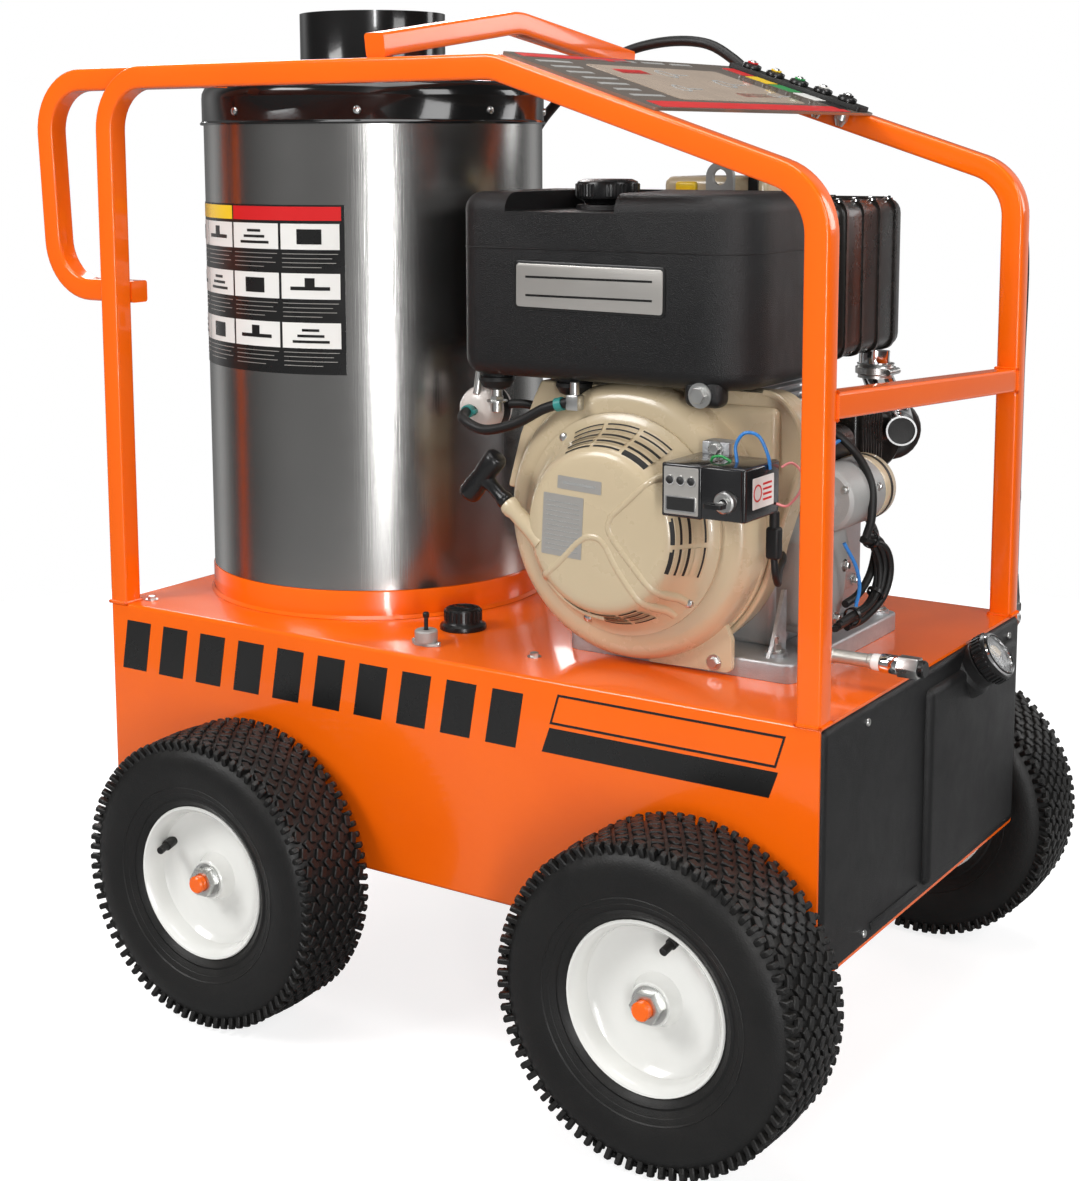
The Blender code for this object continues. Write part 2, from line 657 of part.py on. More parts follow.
def make_recoil_starter():
    front = -RECOIL_FRONT
    back = -SHROUD_FRONT + GAP
    wall = 0.0022
    profile = [(0, front), (0.070, front), (0.084, front - 0.003), (0.091, front - 0.011),
               (0.099, back + 0.016), (0.111, back + 0.006), (RECOIL_RADIUS, back + 0.003), (RECOIL_RADIUS, back),
               (0.104, back), (0.104, back + 0.004), (0.099 - wall, back + 0.014), (0.091 - wall, front - 0.012),
               (0.082, front - 0.003 - wall), (0.066, front - wall), (0, front - wall)]
    cover = turned_about_y("recoil_cover", profile, (CRANK_X, CRANK_Z), 28)
    guide_start = sqrt(0.078 ** 2 - PULLEY_RADIUS ** 2)
    guide_end = 0.100
    join(cover, rod("rope_guide", rope_point(guide_start), rope_point(guide_end), 0.0105, 20))
    cut(cover, rod("rope_hole", rope_point(guide_start - 0.02), rope_point(guide_end + 0.02),
                   ROPE_RADIUS + 0.0015, 12))
    finish(cover, TAN, 0.3)
    half = 0.0045
    profile = [(PULLEY_RADIUS + 0.004, half), (PULLEY_RADIUS, 0.002), (PULLEY_RADIUS, -0.002),
               (PULLEY_RADIUS + 0.004, -half), (0.012, -half), (0.012, half)]
    pulley = turned_about_y("recoil_pulley", profile, (CRANK_X, CRANK_Z), 24, True)
    pulley.location.y = ROPE_Y
    finish(pulley, BLACK, 0.5)
    middle = guide_end + GAP + GRIP_STEM + GRIP_RADIUS
    across = Vector((-ROPE_DIRECTION.z, 0, ROPE_DIRECTION.x))
    half_length = GRIP_LENGTH / 2
    grip = rod("starter_grip", rope_point(middle) - half_length * across,
               rope_point(middle) + half_length * across, GRIP_RADIUS, 20)
    bevel(grip, 0.004, 2)
    join(grip, rod("grip_stem", rope_point(guide_end + GAP), rope_point(middle), 0.0095, 16))
    finish(grip, BLACK, 0.5)


def make_crank():
    front = 0.176
    profile = [(0.130, front - 0.010), (0.134, front - 0.014), (0.134, front - 0.032), (0.125, front - 0.034),
               (CRANK_RADIUS + GAP, front - 0.034), (CRANK_RADIUS + GAP, front), (0.040, front),
               (0.045, front - 0.012)]
    flywheel = turned_about_y("flywheel", profile, (CRANK_X, CRANK_Z), 28, True)
    finish(flywheel, (0.12, 0.12, 0.12), 0.5, 1.0)
    shaft = rod("crankshaft", (CRANK_X, -0.205, CRANK_Z), (CRANK_X, ENGINE_BACK - 0.003, CRANK_Z), CRANK_RADIUS)
    finish(shaft, GREY_METAL, 0.3, 1.0)


def make_engine_tank():
    tank = block("engine_fuel_tank", ENGINE_TANK_LOW, ENGINE_TANK_HIGH, 0.024, 4)
    x, y = ENGINE_CAP_PLACE
    top = ENGINE_TANK_HIGH[2]
    pocket = block("cap_pocket", (x - 0.075, ENGINE_TANK_LOW[1] - 0.02, top - CAP_POCKET),
                   (x + 0.068, y + 0.060, top + 0.030), 0.010, 2)
    cut(tank, pocket)
    finish(tank, BLACK, 0.55)
    seat = top - CAP_POCKET + GAP
    profile = [(0, 0.026), (ENGINE_CAP_RADIUS - 0.004, 0.026), (ENGINE_CAP_RADIUS, 0.022),
               (ENGINE_CAP_RADIUS, 0.003), (ENGINE_CAP_RADIUS - 0.006, 0), (0, 0)]
    finish(turned("engine_tank_cap", profile, (x, y, seat), steps=24), BLACK, 0.5)


def make_fuel_line():
    filter_start = (-0.012, -0.150, 0.676)
    body = turned("fuel_filter", [(0, 0), (0.012, 0), (0.022, -0.005), (0.026, -0.014), (0.026, -0.036),
                                  (0.022, -0.045), (0.010, -0.048), (0, -0.048)],
                  filter_start, (0, -1, 0), 20)
    finish(body, (0.75, 0.72, 0.68), 0.4)
    x, y, z = filter_start
    route = [(x, y - GAP, z), (x, y - 0.014, z), (x + 0.012, y - 0.036, z - 0.004), (x + 0.045, y - 0.043, z - 0.012),
             (x + 0.085, y - 0.043, z - 0.002), (x + 0.120, y - 0.042, z + 0.016),
             (x + 0.150, y - 0.041, z + 0.025)]
    finish(round_tube("fuel_hose", smooth_path(route, 0.014), 0.0055), BLACK, 0.6)


def make_exhaust():
    muffler = block("muffler", (0.258, 0.004, 0.735), (0.348, 0.186, 0.906), 0.018, 3)
    finish(muffler, BLACK, 0.5)
    route = [(0.328, 0.150, 0.735 - GAP), (0.328, 0.150, 0.718), (0.332, 0.160, 0.694), (0.341, 0.176, 0.668),
             (0.354, 0.163, 0.650), (0.3675, 0.137, 0.6475)]
    pipe = as_mesh(round_tube("exhaust_pipe", smooth_path(route, 0.012), 0.0170, 4))
    mouth = Vector(route[-1])
    inward = (Vector(route[-2]) - mouth).normalized()
    cut(pipe, rod("exhaust_bore", mouth - 0.01 * inward, mouth + 0.018 * inward, 0.0150, 20))
    finish(pipe, GREY_METAL, 0.2, 1.0)


def make_engine_fittings():
    air_cleaner = block("air_cleaner", (0.130, 0.014, 0.744 + GAP), (0.2577, 0.110, 0.930), 0.008, 2)
    finish(air_cleaner, TAN, 0.4)
    eye_x = 0.214
    width = 0.0165
    outline = arc((eye_x, 0.929), width, 0, 180, 12) + [(eye_x - width, 0.744 + GAP), (eye_x + width, 0.744 + GAP)]
    hole = arc((eye_x, 0.929), 0.0085, 0, 337.5, 15)
    finish(plate_xz("lifting_eye", [outline, hole], -0.0095, -0.0045), GREY_METAL, 0.4, 1.0)
    starter = rod("starter_motor", (0.372, -0.082, 0.603), (0.372, 0.033, 0.603), 0.036, 24)
    bevel(starter, 0.004, 2)
    finish(starter, GREY_METAL, 0.35, 1.0)
    harness = [(0.402, -0.036, 0.562), (0.405, -0.012, 0.550), (0.406, -0.002, 0.526), (0.405, -0.010, 0.500),
               (0.402, -0.034, 0.485), (0.399, -0.064, 0.481), (0.399, -0.094, 0.479)]
    finish(round_tube("wiring_harness", smooth_path(harness, 0.016), HARNESS_RADIUS), BLACK, 0.5)
    start = CRANK_X + 0.190 - 0.014
    drain = rod("drain_pipe", (start, -0.122, 0.4565), (0.500, -0.122, 0.4565), 0.0068, 16)
    join(drain, rod("drain_elbow", (start + 0.006, -0.122, 0.4565), (start + 0.006, -0.100, 0.4565), 0.0068, 16))
    for kind, low, high, radius, sides in (("coupling", 0.462, 0.484, 0.0100, 16), ("valve", 0.484, 0.506, 0.0130, 6)):
        join(drain, rod("drain_" + kind, (low, -0.122, 0.4565), (high, -0.122, 0.4565), radius, sides))
    finish(drain, GREY_METAL, 0.35, 1.0)


def make_control_box():
    low = Vector((0.295, -0.273, 0.612))
    high = Vector((0.383, -0.1975, 0.664))
    box = block("control_box", low, high, 0.003, 1)
    key_x = low.x + 0.070
    key_z = low.z + 0.020
    join(box, rod("key_barrel", (key_x, low.y + 0.004, key_z), (key_x, low.y - 0.007, key_z), 0.0105, 20))
    cut(box, rod("keyway", (key_x, low.y, key_z), (key_x, low.y - 0.02, key_z), 0.0032, 12))
    join(box, block("box_bracket", (low.x + 0.008, high.y - 0.004, low.z + 0.030),
                    (low.x + 0.034, SHROUD_FRONT - GAP, high.z + 0.012)))
    finish(box, BLACK, 0.4)
    blade = rod("ignition_key", (key_x, low.y - 0.0015, key_z), (key_x, low.y - 0.014, key_z), 0.0026, 12)
    join(blade, block("key_bow", (key_x - 0.0095, low.y - 0.030, key_z - 0.0011),
                      (key_x + 0.0095, low.y - 0.012, key_z + 0.0011)))
    finish(blade, GREY_METAL, 0.3, 1.0)


# ---- Pump, hoses and tanks ------------------------------------------------------------------
def make_pump():
    pump = block("pump", (CRANK_X - 0.065, ENGINE_BACK + GAP, CRANK_Z - 0.070),
                 (CRANK_X + 0.055, 0.225, CRANK_Z + 0.060), 0.010, 2)
    join(pump, block("pump_head", (CRANK_X - 0.125, 0.135, CRANK_Z - 0.055),
                     (CRANK_X - 0.060, 0.215, CRANK_Z + 0.040)))
    join(pump, rod("unloader", (CRANK_X - 0.100, 0.175, CRANK_Z + 0.035), (CRANK_X - 0.100, 0.175, CRANK_Z + 0.085),
                   0.012, 16))
    finish(pump, (0.10, 0.10, 0.11), 0.4, 0.6)


def make_pressure_hose():
    """From the outlet at the foot of the back frame, up behind its post and rail, and over to the coil."""
    along_slope = [(x, HOSE_Y, RAIL_Z - SLOPE_DROP * (x - SLOPE_START)) for x in (0.150, 0.250, POST_X - 0.075)]
    bend_z = RAIL_Z - SLOPE_DROP * (POST_X - SLOPE_START)
    up_post = [(POST_X, HOSE_Y, z) for z in (bend_z - 0.075, 0.700, 0.550, DECK_TOP + HOSE_END_HEIGHT)]
    bend = (POST_X - 0.019, HOSE_Y, bend_z - 0.021)
    arch = [(0.104, HOSE_Y, 1.0450), (0.078, HOSE_Y, 1.0660), (0.042, HOSE_Y, 1.0860), (-0.006, HOSE_Y, 1.0915),
            (-0.060, HOSE_Y, 1.0850), (-0.108, HOSE_Y, 1.0680), (-0.155, HOSE_Y, 1.0400), (-0.200, HOSE_Y, 1.0000)]
    out = Vector((cos(COIL_PORT_ANGLE), sin(COIL_PORT_ANGLE), 0))
    port = Vector((BURNER_X, 0, COIL_PORT_Z)) + SHELL_RADIUS * out
    turn = HOSE_Y - HOSE_TURN
    middle = HOSE_TURN * cos(radians(45))
    down = [(-0.230, HOSE_Y, COIL_PORT_Z + HOSE_TURN + 0.012), (-0.241, HOSE_Y, COIL_PORT_Z + HOSE_TURN - 0.008),
            (-0.2455, turn + middle, COIL_PORT_Z + HOSE_TURN - middle), port + 0.028 * out, port + GAP * out]
    route = up_post[::-1] + [bend] + along_slope[::-1] + arch + down
    finish(round_tube("pressure_hose", smooth_path(route, 0.025), HOSE_RADIUS), BLACK, 0.5)


def make_fuel_tank():
    bottom = PAN_BOTTOM + SHEET + GAP
    top = DECK_BOTTOM - GAP
    side = HALF_WIDTH - SHEET - GAP
    tank = block("fuel_tank", (DECK_CAP_PLACE[0] - 0.060, -side, bottom), (TANK_END, side, top), 0.008, 2)
    join(tank, block("tank_bulge", (TANK_END - 0.020, -0.010, bottom + 0.015),
                     (TANK_END + TANK_BULGE, side - 0.025, top - 0.025), 0.006, 2))
    neck_start = Vector((TANK_END, FILLER_Y, FILLER_Z)) - 0.020 * FILLER_AXIS
    join(tank, rod("filler_neck", neck_start, FILLER_MOUTH, FILLER_RADIUS, 24))
    finish(tank, BLACK, 0.55)
    depth = FILLER_CAP_DEPTH
    radius = FILLER_CAP_RADIUS
    dial = FILLER_DIAL_RADIUS
    profile = [(0, depth - 0.003), (dial, depth - 0.003), (dial + 0.0006, depth), (radius - CAP_EDGE, depth),
               (radius, depth - 0.004), (radius, 0.004), (radius - 0.004, 0), (0, 0)]
    cap = turned("fuel_tank_cap", profile, FILLER_MOUTH + GAP * FILLER_AXIS, FILLER_AXIS, 24)
    finish(cap, BLACK, 0.4)


def make_deck_fittings():
    radius = DECK_CAP_RADIUS
    profile = [(0, 0.024), (radius - 0.009, 0.024), (radius - 0.0065, 0.021), (radius - 0.005, 0.009),
               (radius - 0.001, 0.007), (radius, 0.004), (radius, 0), (0, 0)]
    finish(turned("deck_cap", profile, (*DECK_CAP_PLACE, DECK_TOP + GAP), steps=20), BLACK, 0.4)
    x, y = GAUGE_PLACE
    base = DECK_TOP + GAP
    gauge = block("level_gauge", (x - 0.021, y - 0.009, base), (x + 0.021, y + 0.009, base + 0.0035), 0.003, 1)
    join(gauge, rod("gauge_body", (x, y, base + 0.001), (x, y, base + 0.0165), 0.0125, 20))
    cut(gauge, rod("gauge_bore", (x, y, base + 0.004), (x, y, base + 0.03), 0.0029, 12))
    finish(gauge, (0.30, 0.28, 0.27), 0.45, 0.6)
    rod_piece = rod("gauge_rod", (x, y, base + 0.005), (x, y, base + 0.036), 0.0024, 12)
    finish(rod_piece, BLACK, 0.3)


def make_bay():
    """What stands in the pan below the burner: the battery and the burner's blower."""
    floor = PAN_BOTTOM + SHEET + GAP
    battery = block("battery", (-0.440, -0.225, floor), (-0.310, -0.040, floor + 0.165), 0.004, 1)
    finish(battery, (0.05, 0.05, 0.06), 0.5)
    blower = rod("burner_blower", (-0.205, -0.030, 0.290), (-0.205, 0.080, 0.290), 0.075, 28)
    join(blower, block("blower_foot", (-0.245, -0.010, floor), (-0.165, 0.060, 0.240)))
    join(blower, block("blower_outlet", (-0.235, -0.020, 0.330), (-0.175, 0.060, DECK_BOTTOM - GAP)))
    join(blower, rod("blower_motor", (-0.205, 0.075, 0.290), (-0.205, 0.180, 0.290), 0.050, 24))
    finish(blower, (0.08, 0.08, 0.09), 0.5, 0.5)


make_chassis()
make_frame()
make_panel()
make_wheels()
make_burner()
make_crankcase()
make_blower_housing()
make_shroud()
make_recoil_starter()
make_crank()
make_engine_tank()
make_fuel_line()
make_exhaust()
make_engine_fittings()
make_control_box()
make_pump()
make_pressure_hose()
make_fuel_tank()
make_deck_fittings()
make_bay()
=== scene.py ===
"""The looks of an engine-driven hot-water pressure washer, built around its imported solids.

Metres, +Z up. Pieces are drawn in the machine's own coordinates, whose origin is under the middle
of the chassis, and piece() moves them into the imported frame.
"""

from math import cos, pi, radians, sin, sqrt

import bmesh
import bpy
from mathutils import Matrix, Vector


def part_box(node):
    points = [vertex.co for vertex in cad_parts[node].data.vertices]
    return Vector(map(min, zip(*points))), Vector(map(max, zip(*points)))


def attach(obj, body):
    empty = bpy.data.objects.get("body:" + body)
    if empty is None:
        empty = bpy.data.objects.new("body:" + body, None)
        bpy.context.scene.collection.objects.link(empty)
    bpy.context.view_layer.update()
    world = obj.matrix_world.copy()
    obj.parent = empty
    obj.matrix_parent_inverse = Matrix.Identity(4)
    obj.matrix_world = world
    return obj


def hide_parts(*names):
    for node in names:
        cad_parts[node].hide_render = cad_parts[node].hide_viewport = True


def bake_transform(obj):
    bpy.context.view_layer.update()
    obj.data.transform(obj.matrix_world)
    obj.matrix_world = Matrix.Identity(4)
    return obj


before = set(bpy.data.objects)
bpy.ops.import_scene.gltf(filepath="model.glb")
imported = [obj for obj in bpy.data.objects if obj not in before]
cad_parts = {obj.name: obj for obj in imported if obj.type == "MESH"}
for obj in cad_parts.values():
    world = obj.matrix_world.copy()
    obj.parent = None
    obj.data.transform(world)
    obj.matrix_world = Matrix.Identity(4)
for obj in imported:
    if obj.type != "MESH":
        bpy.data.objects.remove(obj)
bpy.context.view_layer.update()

# ---- Sizes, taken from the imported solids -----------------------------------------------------
DECK_LOW, DECK_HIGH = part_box("deck")
SHIFT = (DECK_LOW.x + DECK_HIGH.x) / 2
HALF_LENGTH = (DECK_HIGH.x - DECK_LOW.x) / 2
HALF_WIDTH = DECK_HIGH.y
DECK = DECK_HIGH.z
PAN_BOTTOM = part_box("chassis_pan")[0].z
TUBE = 0.0254
GAP = 0.0003
FRAME_Y = HALF_WIDTH - TUBE / 2
FRAME_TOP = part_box("side_frame_front")[1].z
RAIL_Z = FRAME_TOP - TUBE / 2
POST_X = HALF_LENGTH - TUBE / 2
SLOPE_START = 0.094
SLOPE_DROP = 0.327
SLOPE = Vector((1, 0, -SLOPE_DROP)).normalized()
SLOPE_NORMAL = Vector((SLOPE_DROP, 0, 1)).normalized()

BURNER_X = -0.2625
SHELL_RADIUS = 0.2035
RING_TOP = DECK + 0.033
SHELL_TOP = 0.998
JACKET_STEPS = 160
LID_BRIM = 0.988
LID_TOP = 1.037
STACK_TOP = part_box("stack_collar")[1].z

AXLES = {"front": 0.339, "rear": -0.222}
WHEELS = {place + "_" + side: (x, sign) for place, x in AXLES.items() for side,
    sign in (("left", -1), ("right", 1))}
WHEEL_Y = 0.335
TYRE_RADIUS = 0.165

CRANK_X = 0.197
CRANK_Z = 0.5775
TANK_LOW = Vector((0.005, -0.205, 0.7235))
TANK_HIGH = Vector((0.348, -0.018, 0.916))
ENGINE_CAP = (0.132, -0.105)


# ---- Mesh tools ------------------------------------------------------------------------------
def facing(origin, outward, up=(0, 0, 1)):
    """A matrix whose local Z points outward and whose local Y is as near up as it can be."""
    z = Vector(outward).normalized()
    up = Vector(up)
    if abs(z.dot(up.normalized())) > 0.99:
        up = Vector((0, 1, 0))
    x = up.cross(z).normalized()
    y = z.cross(x)
    matrix = Matrix((x, y, z)).transposed().to_4x4()
    matrix.translation = Vector(origin)
    return matrix


FRONT = (0, -1, 0)
RIGHT = (1, 0, 0)
UP = (0, 0, 1)


def lathe(build, profile, origin=(0, 0, 0), axis=UP, steps=96, closed=False, start=0.0, sweep=2 * pi):
    """Turns (radius, height) points about an axis through origin."""
    matrix = facing(origin, axis)
    whole = abs(sweep - 2 * pi) < 1e-6
    count = steps if whole else steps + 1
    rings = []
    for radius, height in profile:
        if radius < 1e-7:
            rings.append([build.verts.new(matrix @ Vector((0, 0, height)))] * count)
            continue
        ring = []
        for step in range(count):
            angle = start + sweep * step / steps
            ring.append(build.verts.new(matrix @ Vector((radius * cos(angle), radius * sin(angle),
                height))))
        rings.append(ring)
    pairs = list(zip(rings, rings[1:] + rings[:1])) if closed else list(zip(rings, rings[1:]))
    for low, high in pairs:
        for step in range(steps):
            after = (step + 1) % count
            corners = []
            for vert in (low[step], low[after], high[after], high[step]):
                if vert not in corners:
                    corners.append(vert)
            if len(corners) > 2:
                build.faces.new(corners)
    if not whole and closed:
        build.faces.new([ring[0] for ring in rings])
        build.faces.new([ring[-1] for ring in rings])
    return build


def soften(build, edges, radius, segments):
    bmesh.ops.bevel(build, geom=edges, offset=radius, segments=segments, profile=0.5, affect="EDGES",
        clamp_overlap=True)


def slab(build, low, high, radius=0.0, segments=3, matrix=None):
    """A box between two corners, with its edges rounded."""
    own = bmesh.new()
    bmesh.ops.create_cube(own, size=1)
    low = Vector(low)
    high = Vector(high)
    for vert in own.verts:
        for axis in range(3):
            vert.co[axis] = high[axis] if vert.co[axis] > 0 else low[axis]
    if radius:
        soften(own, list(own.edges), radius, segments)
    merge(build, own, matrix)
    return build


def merge(build, own, matrix=None):
    """Adds the bmesh own to build, and frees it."""
    scratch = bpy.data.meshes.new("scratch")
    own.to_mesh(scratch)
    own.free()
    if matrix is not None:
        scratch.transform(matrix)
    build.from_mesh(scratch)
    bpy.data.meshes.remove(scratch)
    return build


def round_outline(points, radius, steps=5):
    """A closed 2D outline with each corner turned into an arc."""
    out = []
    count = len(points)
    for index in range(count):
        before = Vector(points[index - 1]).to_2d()
        here = Vector(points[index]).to_2d()
        after = Vector(points[(index + 1) % count]).to_2d()
        into = (before - here).normalized()
        away = (after - here).normalized()
        half = into.angle(away) / 2
        size = radius[index] if isinstance(radius, (list, tuple)) else radius
        reach = min(size / max(0.05, abs(sin(half) / cos(half))), 0.49 * (before - here).length,
            0.49 * (after - here).length)
        first = here + reach * into
        last = here + reach * away
        for step in range(steps + 1):
            t = step / steps
            out.append(tuple((1 - t) ** 2 * first + 2 * t * (1 - t) * here + t ** 2 * last))
    return out


def plate(build, outline, thick, matrix=None, radius=0.0, segments=2, holes=()):
    """A flat plate whose outline is drawn in local X and Y and which rises along local Z."""
    own = bmesh.new()
    loops = [[own.verts.new((x, y, 0)) for x, y in loop] for loop in (outline, *holes)]
    if holes:
        edges = []
        for loop in loops:
            for index, vert in enumerate(loop):
                edges.append(own.edges.new((vert, loop[(index + 1) % len(loop)])))
        bmesh.ops.triangle_fill(own, use_beauty=True, use_dissolve=False, edges=edges)
    else:
        own.faces.new(loops[0])
    made = bmesh.ops.extrude_face_region(own, geom=list(own.faces))
    top = [item for item in made["geom"] if isinstance(item, bmesh.types.BMVert)]
    for vert in top:
        vert.co.z += thick
    if radius:
        own.normal_update()
        rim = [edge for edge in own.edges if all(vert.co.z > thick * 0.9 for vert in edge.verts) and
            len({round(abs(face.normal.z)) for face in edge.link_faces}) > 1]
        soften(own, rim, radius, segments)
    merge(build, own, matrix)
    return build


def rectangle(width, height):
    x = width / 2
    y = height / 2
    return [(-x, -y), (x, -y), (x, y), (-x, y)]


def disc(radius, steps=32, middle=(0, 0)):
    return [(middle[0] + radius * cos(2 * pi * step / steps),
        middle[1] + radius * sin(2 * pi * step / steps)) for step in range(steps)]


def bent(points, radius, steps=12):
    """A path with each inner corner turned into an arc of that centreline radius."""
    points = [Vector(point) for point in points]
    out = [points[0]]
    for before, here, after in zip(points, points[1:], points[2:]):
        into = (before - here).normalized()
        away = (after - here).normalized()
        half = into.angle(away) / 2
        reach = radius * cos(half) / sin(half)
        middle = here + (into + away).normalized() * radius / sin(half)
        first = here + reach * into - middle
        last = here + reach * away - middle
        angle = first.angle(last)
        for step in range(steps + 1):
            t = step / steps
            out.append(middle + (first * sin((1 - t) * angle) + last * sin(t * angle)) / sin(angle))
    out.append(points[-1])
    return out


def smooth(points, step=0.008):
    """A path on a smooth curve through every point."""
    points = [Vector(point) for point in points]
    ends = [2 * points[0] - points[1]] + points + [2 * points[-1] - points[-2]]
    out = []
    for a, b, c, d in zip(ends, ends[1:], ends[2:], ends[3:]):
        parts = max(2, round((c - b).length / step))
        for part in range(parts):
            t = part / parts
            out.append(0.5 * (2 * b + (c - a) * t + (2 * a - 5 * b + 4 * c - d) * t ** 2 +
                (3 * b - a - 3 * c + d) * t ** 3))
    out.append(points[-1])
    return out


def square_section(side, corner, steps=4):
    half = side / 2
    out = []
    for quarter, (x, y) in enumerate(((1, 1), (-1, 1), (-1, -1), (1, -1))):
        for step in range(steps + 1):
            angle = pi / 2 * (quarter + step / steps)
            out.append((x * (half - corner) + corner * cos(angle),
                y * (half - corner) + corner * sin(angle)))
    return out


def sweep(build, path, section, side=None):
    """Carries a 2D section along a path; side, where given, is the section's fixed X direction."""
    path = [Vector(point) for point in path]
    tangents = []
    for index in range(len(path)):
        before = path[max(0, index - 1)]
        after = path[min(len(path) - 1, index + 1)]
        tangents.append((after - before).normalized())
    across = Vector(side) if side else tangents[0].orthogonal().normalized()
    rings = []
    for point, tangent in zip(path, tangents):
        if side is None:
            across = (across - across.dot(tangent) * tangent).normalized()
        other = tangent.cross(across).normalized()
        rings.append([build.verts.new(point + x * across + y * other) for x, y in section])
    count = len(section)
    for low, high in zip(rings, rings[1:]):
        for index in range(count):
            after = (index + 1) % count
            build.faces.new((low[index], low[after], high[after], high[index]))
    build.faces.new(rings[0])
    build.faces.new(rings[-1])
    return build


def tube(build, path, radius, sides=16):
    return sweep(build, path, disc(radius, sides))


def pipe(build, start, end, radius, sides=24, edge=0.0):
    """A straight round bar with its two end edges eased."""
    start = Vector(start)
    end = Vector(end)
    length = (end - start).length
    edge = min(edge or radius * 0.12, length / 3)
    profile = [(0, 0), (radius - edge, 0), (radius, edge), (radius, length - edge), (radius - edge, length),
        (0, length)]
    return lathe(build, profile, start, end - start, sides)


def piece(name, build, finish, body="machine", replaces=(), sharp=32):
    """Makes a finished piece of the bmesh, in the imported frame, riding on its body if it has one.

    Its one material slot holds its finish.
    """
    bmesh.ops.recalc_face_normals(build, faces=list(build.faces))
    mesh = bpy.data.meshes.new(name)
    build.to_mesh(mesh)
    build.free()
    mesh.transform(Matrix.Translation((SHIFT, 0, 0)))
    mesh.polygons.foreach_set("use_smooth", [True] * len(mesh.polygons))
    mesh.set_sharp_from_angle(angle=radians(sharp))
    mesh.materials.append(finish)
    obj = bpy.data.objects.new(name, mesh)
    bpy.context.scene.collection.objects.link(obj)
    if body:
        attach(obj, body)
    if replaces:
        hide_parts(*replaces)
    return obj


# ---- Geometry Nodes that repeat a small shape ------------------------------------------------
def node(tree, kind, inputs=(), **settings):
    """Adds a node; inputs are values or sockets by name or index, settings its own properties."""
    made = tree.nodes.new(kind)
    for key, value in settings.items():
        setattr(made, key, value)
    for key, value in dict(inputs).items():
        socket = made.inputs[key]
        if isinstance(value, bpy.types.NodeSocket):
            tree.links.new(value, socket)
        else:
            socket.default_value = value
    return made


def maths(tree, operation, a, b=0.0, c=0.0, clamp=False):
    return node(tree, "ShaderNodeMath", {0: a, 1: b, 2: c}, operation=operation, use_clamp=clamp).outputs[0]


def make_copy_tree(name, inputs, spots):
    """Copies of the incoming shape, placed by the points and turns that spots(tree, given) says."""
    tree = bpy.data.node_groups.new(name, "GeometryNodeTree")
    inputs = [("Geometry", "NodeSocketGeometry", None), *inputs, ("Finish", "NodeSocketMaterial", None)]
    for label, kind, value in inputs:
        socket = tree.interface.new_socket(label, in_out="INPUT", socket_type=kind)
        if value is not None:
            socket.default_value = value
    tree.interface.new_socket("Geometry", in_out="OUTPUT", socket_type="NodeSocketGeometry")
    given = tree.nodes.new("NodeGroupInput").outputs
    where = {"Instance": given["Geometry"], **spots(tree, given)}
    copies = node(tree, "GeometryNodeInstanceOnPoints", where).outputs[0]
    solid = node(tree, "GeometryNodeRealizeInstances", {0: copies}).outputs[0]
    painted = node(tree, "GeometryNodeSetMaterial", {"Geometry": solid,
        "Material": given["Finish"]}).outputs[0]
    tree.links.new(painted, tree.nodes.new("NodeGroupOutput").inputs[0])
    return tree


def ring_spots(tree, given):
    """Points round local Z, each turned so that the shape's own +X looks outward."""
    index = node(tree, "GeometryNodeInputIndex").outputs[0]
    angle = maths(tree, "MULTIPLY_ADD", index, given["Step Angle"], given["Start Angle"])
    x = maths(tree, "MULTIPLY", maths(tree, "COSINE", angle), given["Radius"])
    y = maths(tree, "MULTIPLY", maths(tree, "SINE", angle), given["Radius"])
    place = node(tree, "ShaderNodeCombineXYZ", {0: x, 1: y, 2: given["Height"]}).outputs[0]
    points = node(tree, "GeometryNodePoints", {"Count": given["Count"], "Position": place}).outputs[0]
    jitter = node(tree, "FunctionNodeRandomValue", {2: -1.0, 3: 1.0, "Seed": 7},
        data_type="FLOAT").outputs[1]
    lean = maths(tree, "MULTIPLY", jitter, given["Wobble"])
    return {"Points": points, "Rotation": node(tree, "ShaderNodeCombineXYZ",
        {0: lean, 2: angle}).outputs[0]}


def row_spots(tree, given):
    """Points along a line."""
    line = {"Count": given["Count"], "Start Location": given["Start"], "Offset": given["Step"]}
    return {"Points": node(tree, "GeometryNodeMeshLine", line, mode="OFFSET").outputs[0]}


RING_TREE = make_copy_tree("copies_round_a_ring", [("Count", "NodeSocketInt", 12),
    ("Radius", "NodeSocketFloat", 0.1), ("Start Angle", "NodeSocketFloat", 0.0),
    ("Step Angle", "NodeSocketFloat", 0.5), ("Height", "NodeSocketFloat", 0.0),
    ("Wobble", "NodeSocketFloat", 0.0)], ring_spots)
ROW_TREE = make_copy_tree("copies_in_a_row", [("Count", "NodeSocketInt", None),
    ("Start", "NodeSocketVector", None), ("Step", "NodeSocketVector", None)], row_spots)


def repeat(build, tree, shape, inputs, matrix=None):
    """Runs a tree of copies on the bmesh shape, and adds the plain mesh that it makes to build."""
    mesh = bpy.data.meshes.new("shape")
    shape.to_mesh(mesh)
    shape.free()
    obj = bpy.data.objects.new("copies", mesh)
    modifier = obj.modifiers.new("copies", "NODES")
    modifier.node_group = tree
    for item in tree.interface.items_tree:
        if item.in_out == "INPUT" and item.name in inputs:
            modifier[item.identifier] = inputs[item.name]
    bpy.context.scene.collection.objects.link(obj)
    graph = bpy.context.evaluated_depsgraph_get()
    made = bpy.data.meshes.new_from_object(obj.evaluated_get(graph))
    bpy.data.objects.remove(obj)
    if matrix is not None:
        made.transform(matrix)
    build.from_mesh(made)
    bpy.data.meshes.remove(made)
    return build


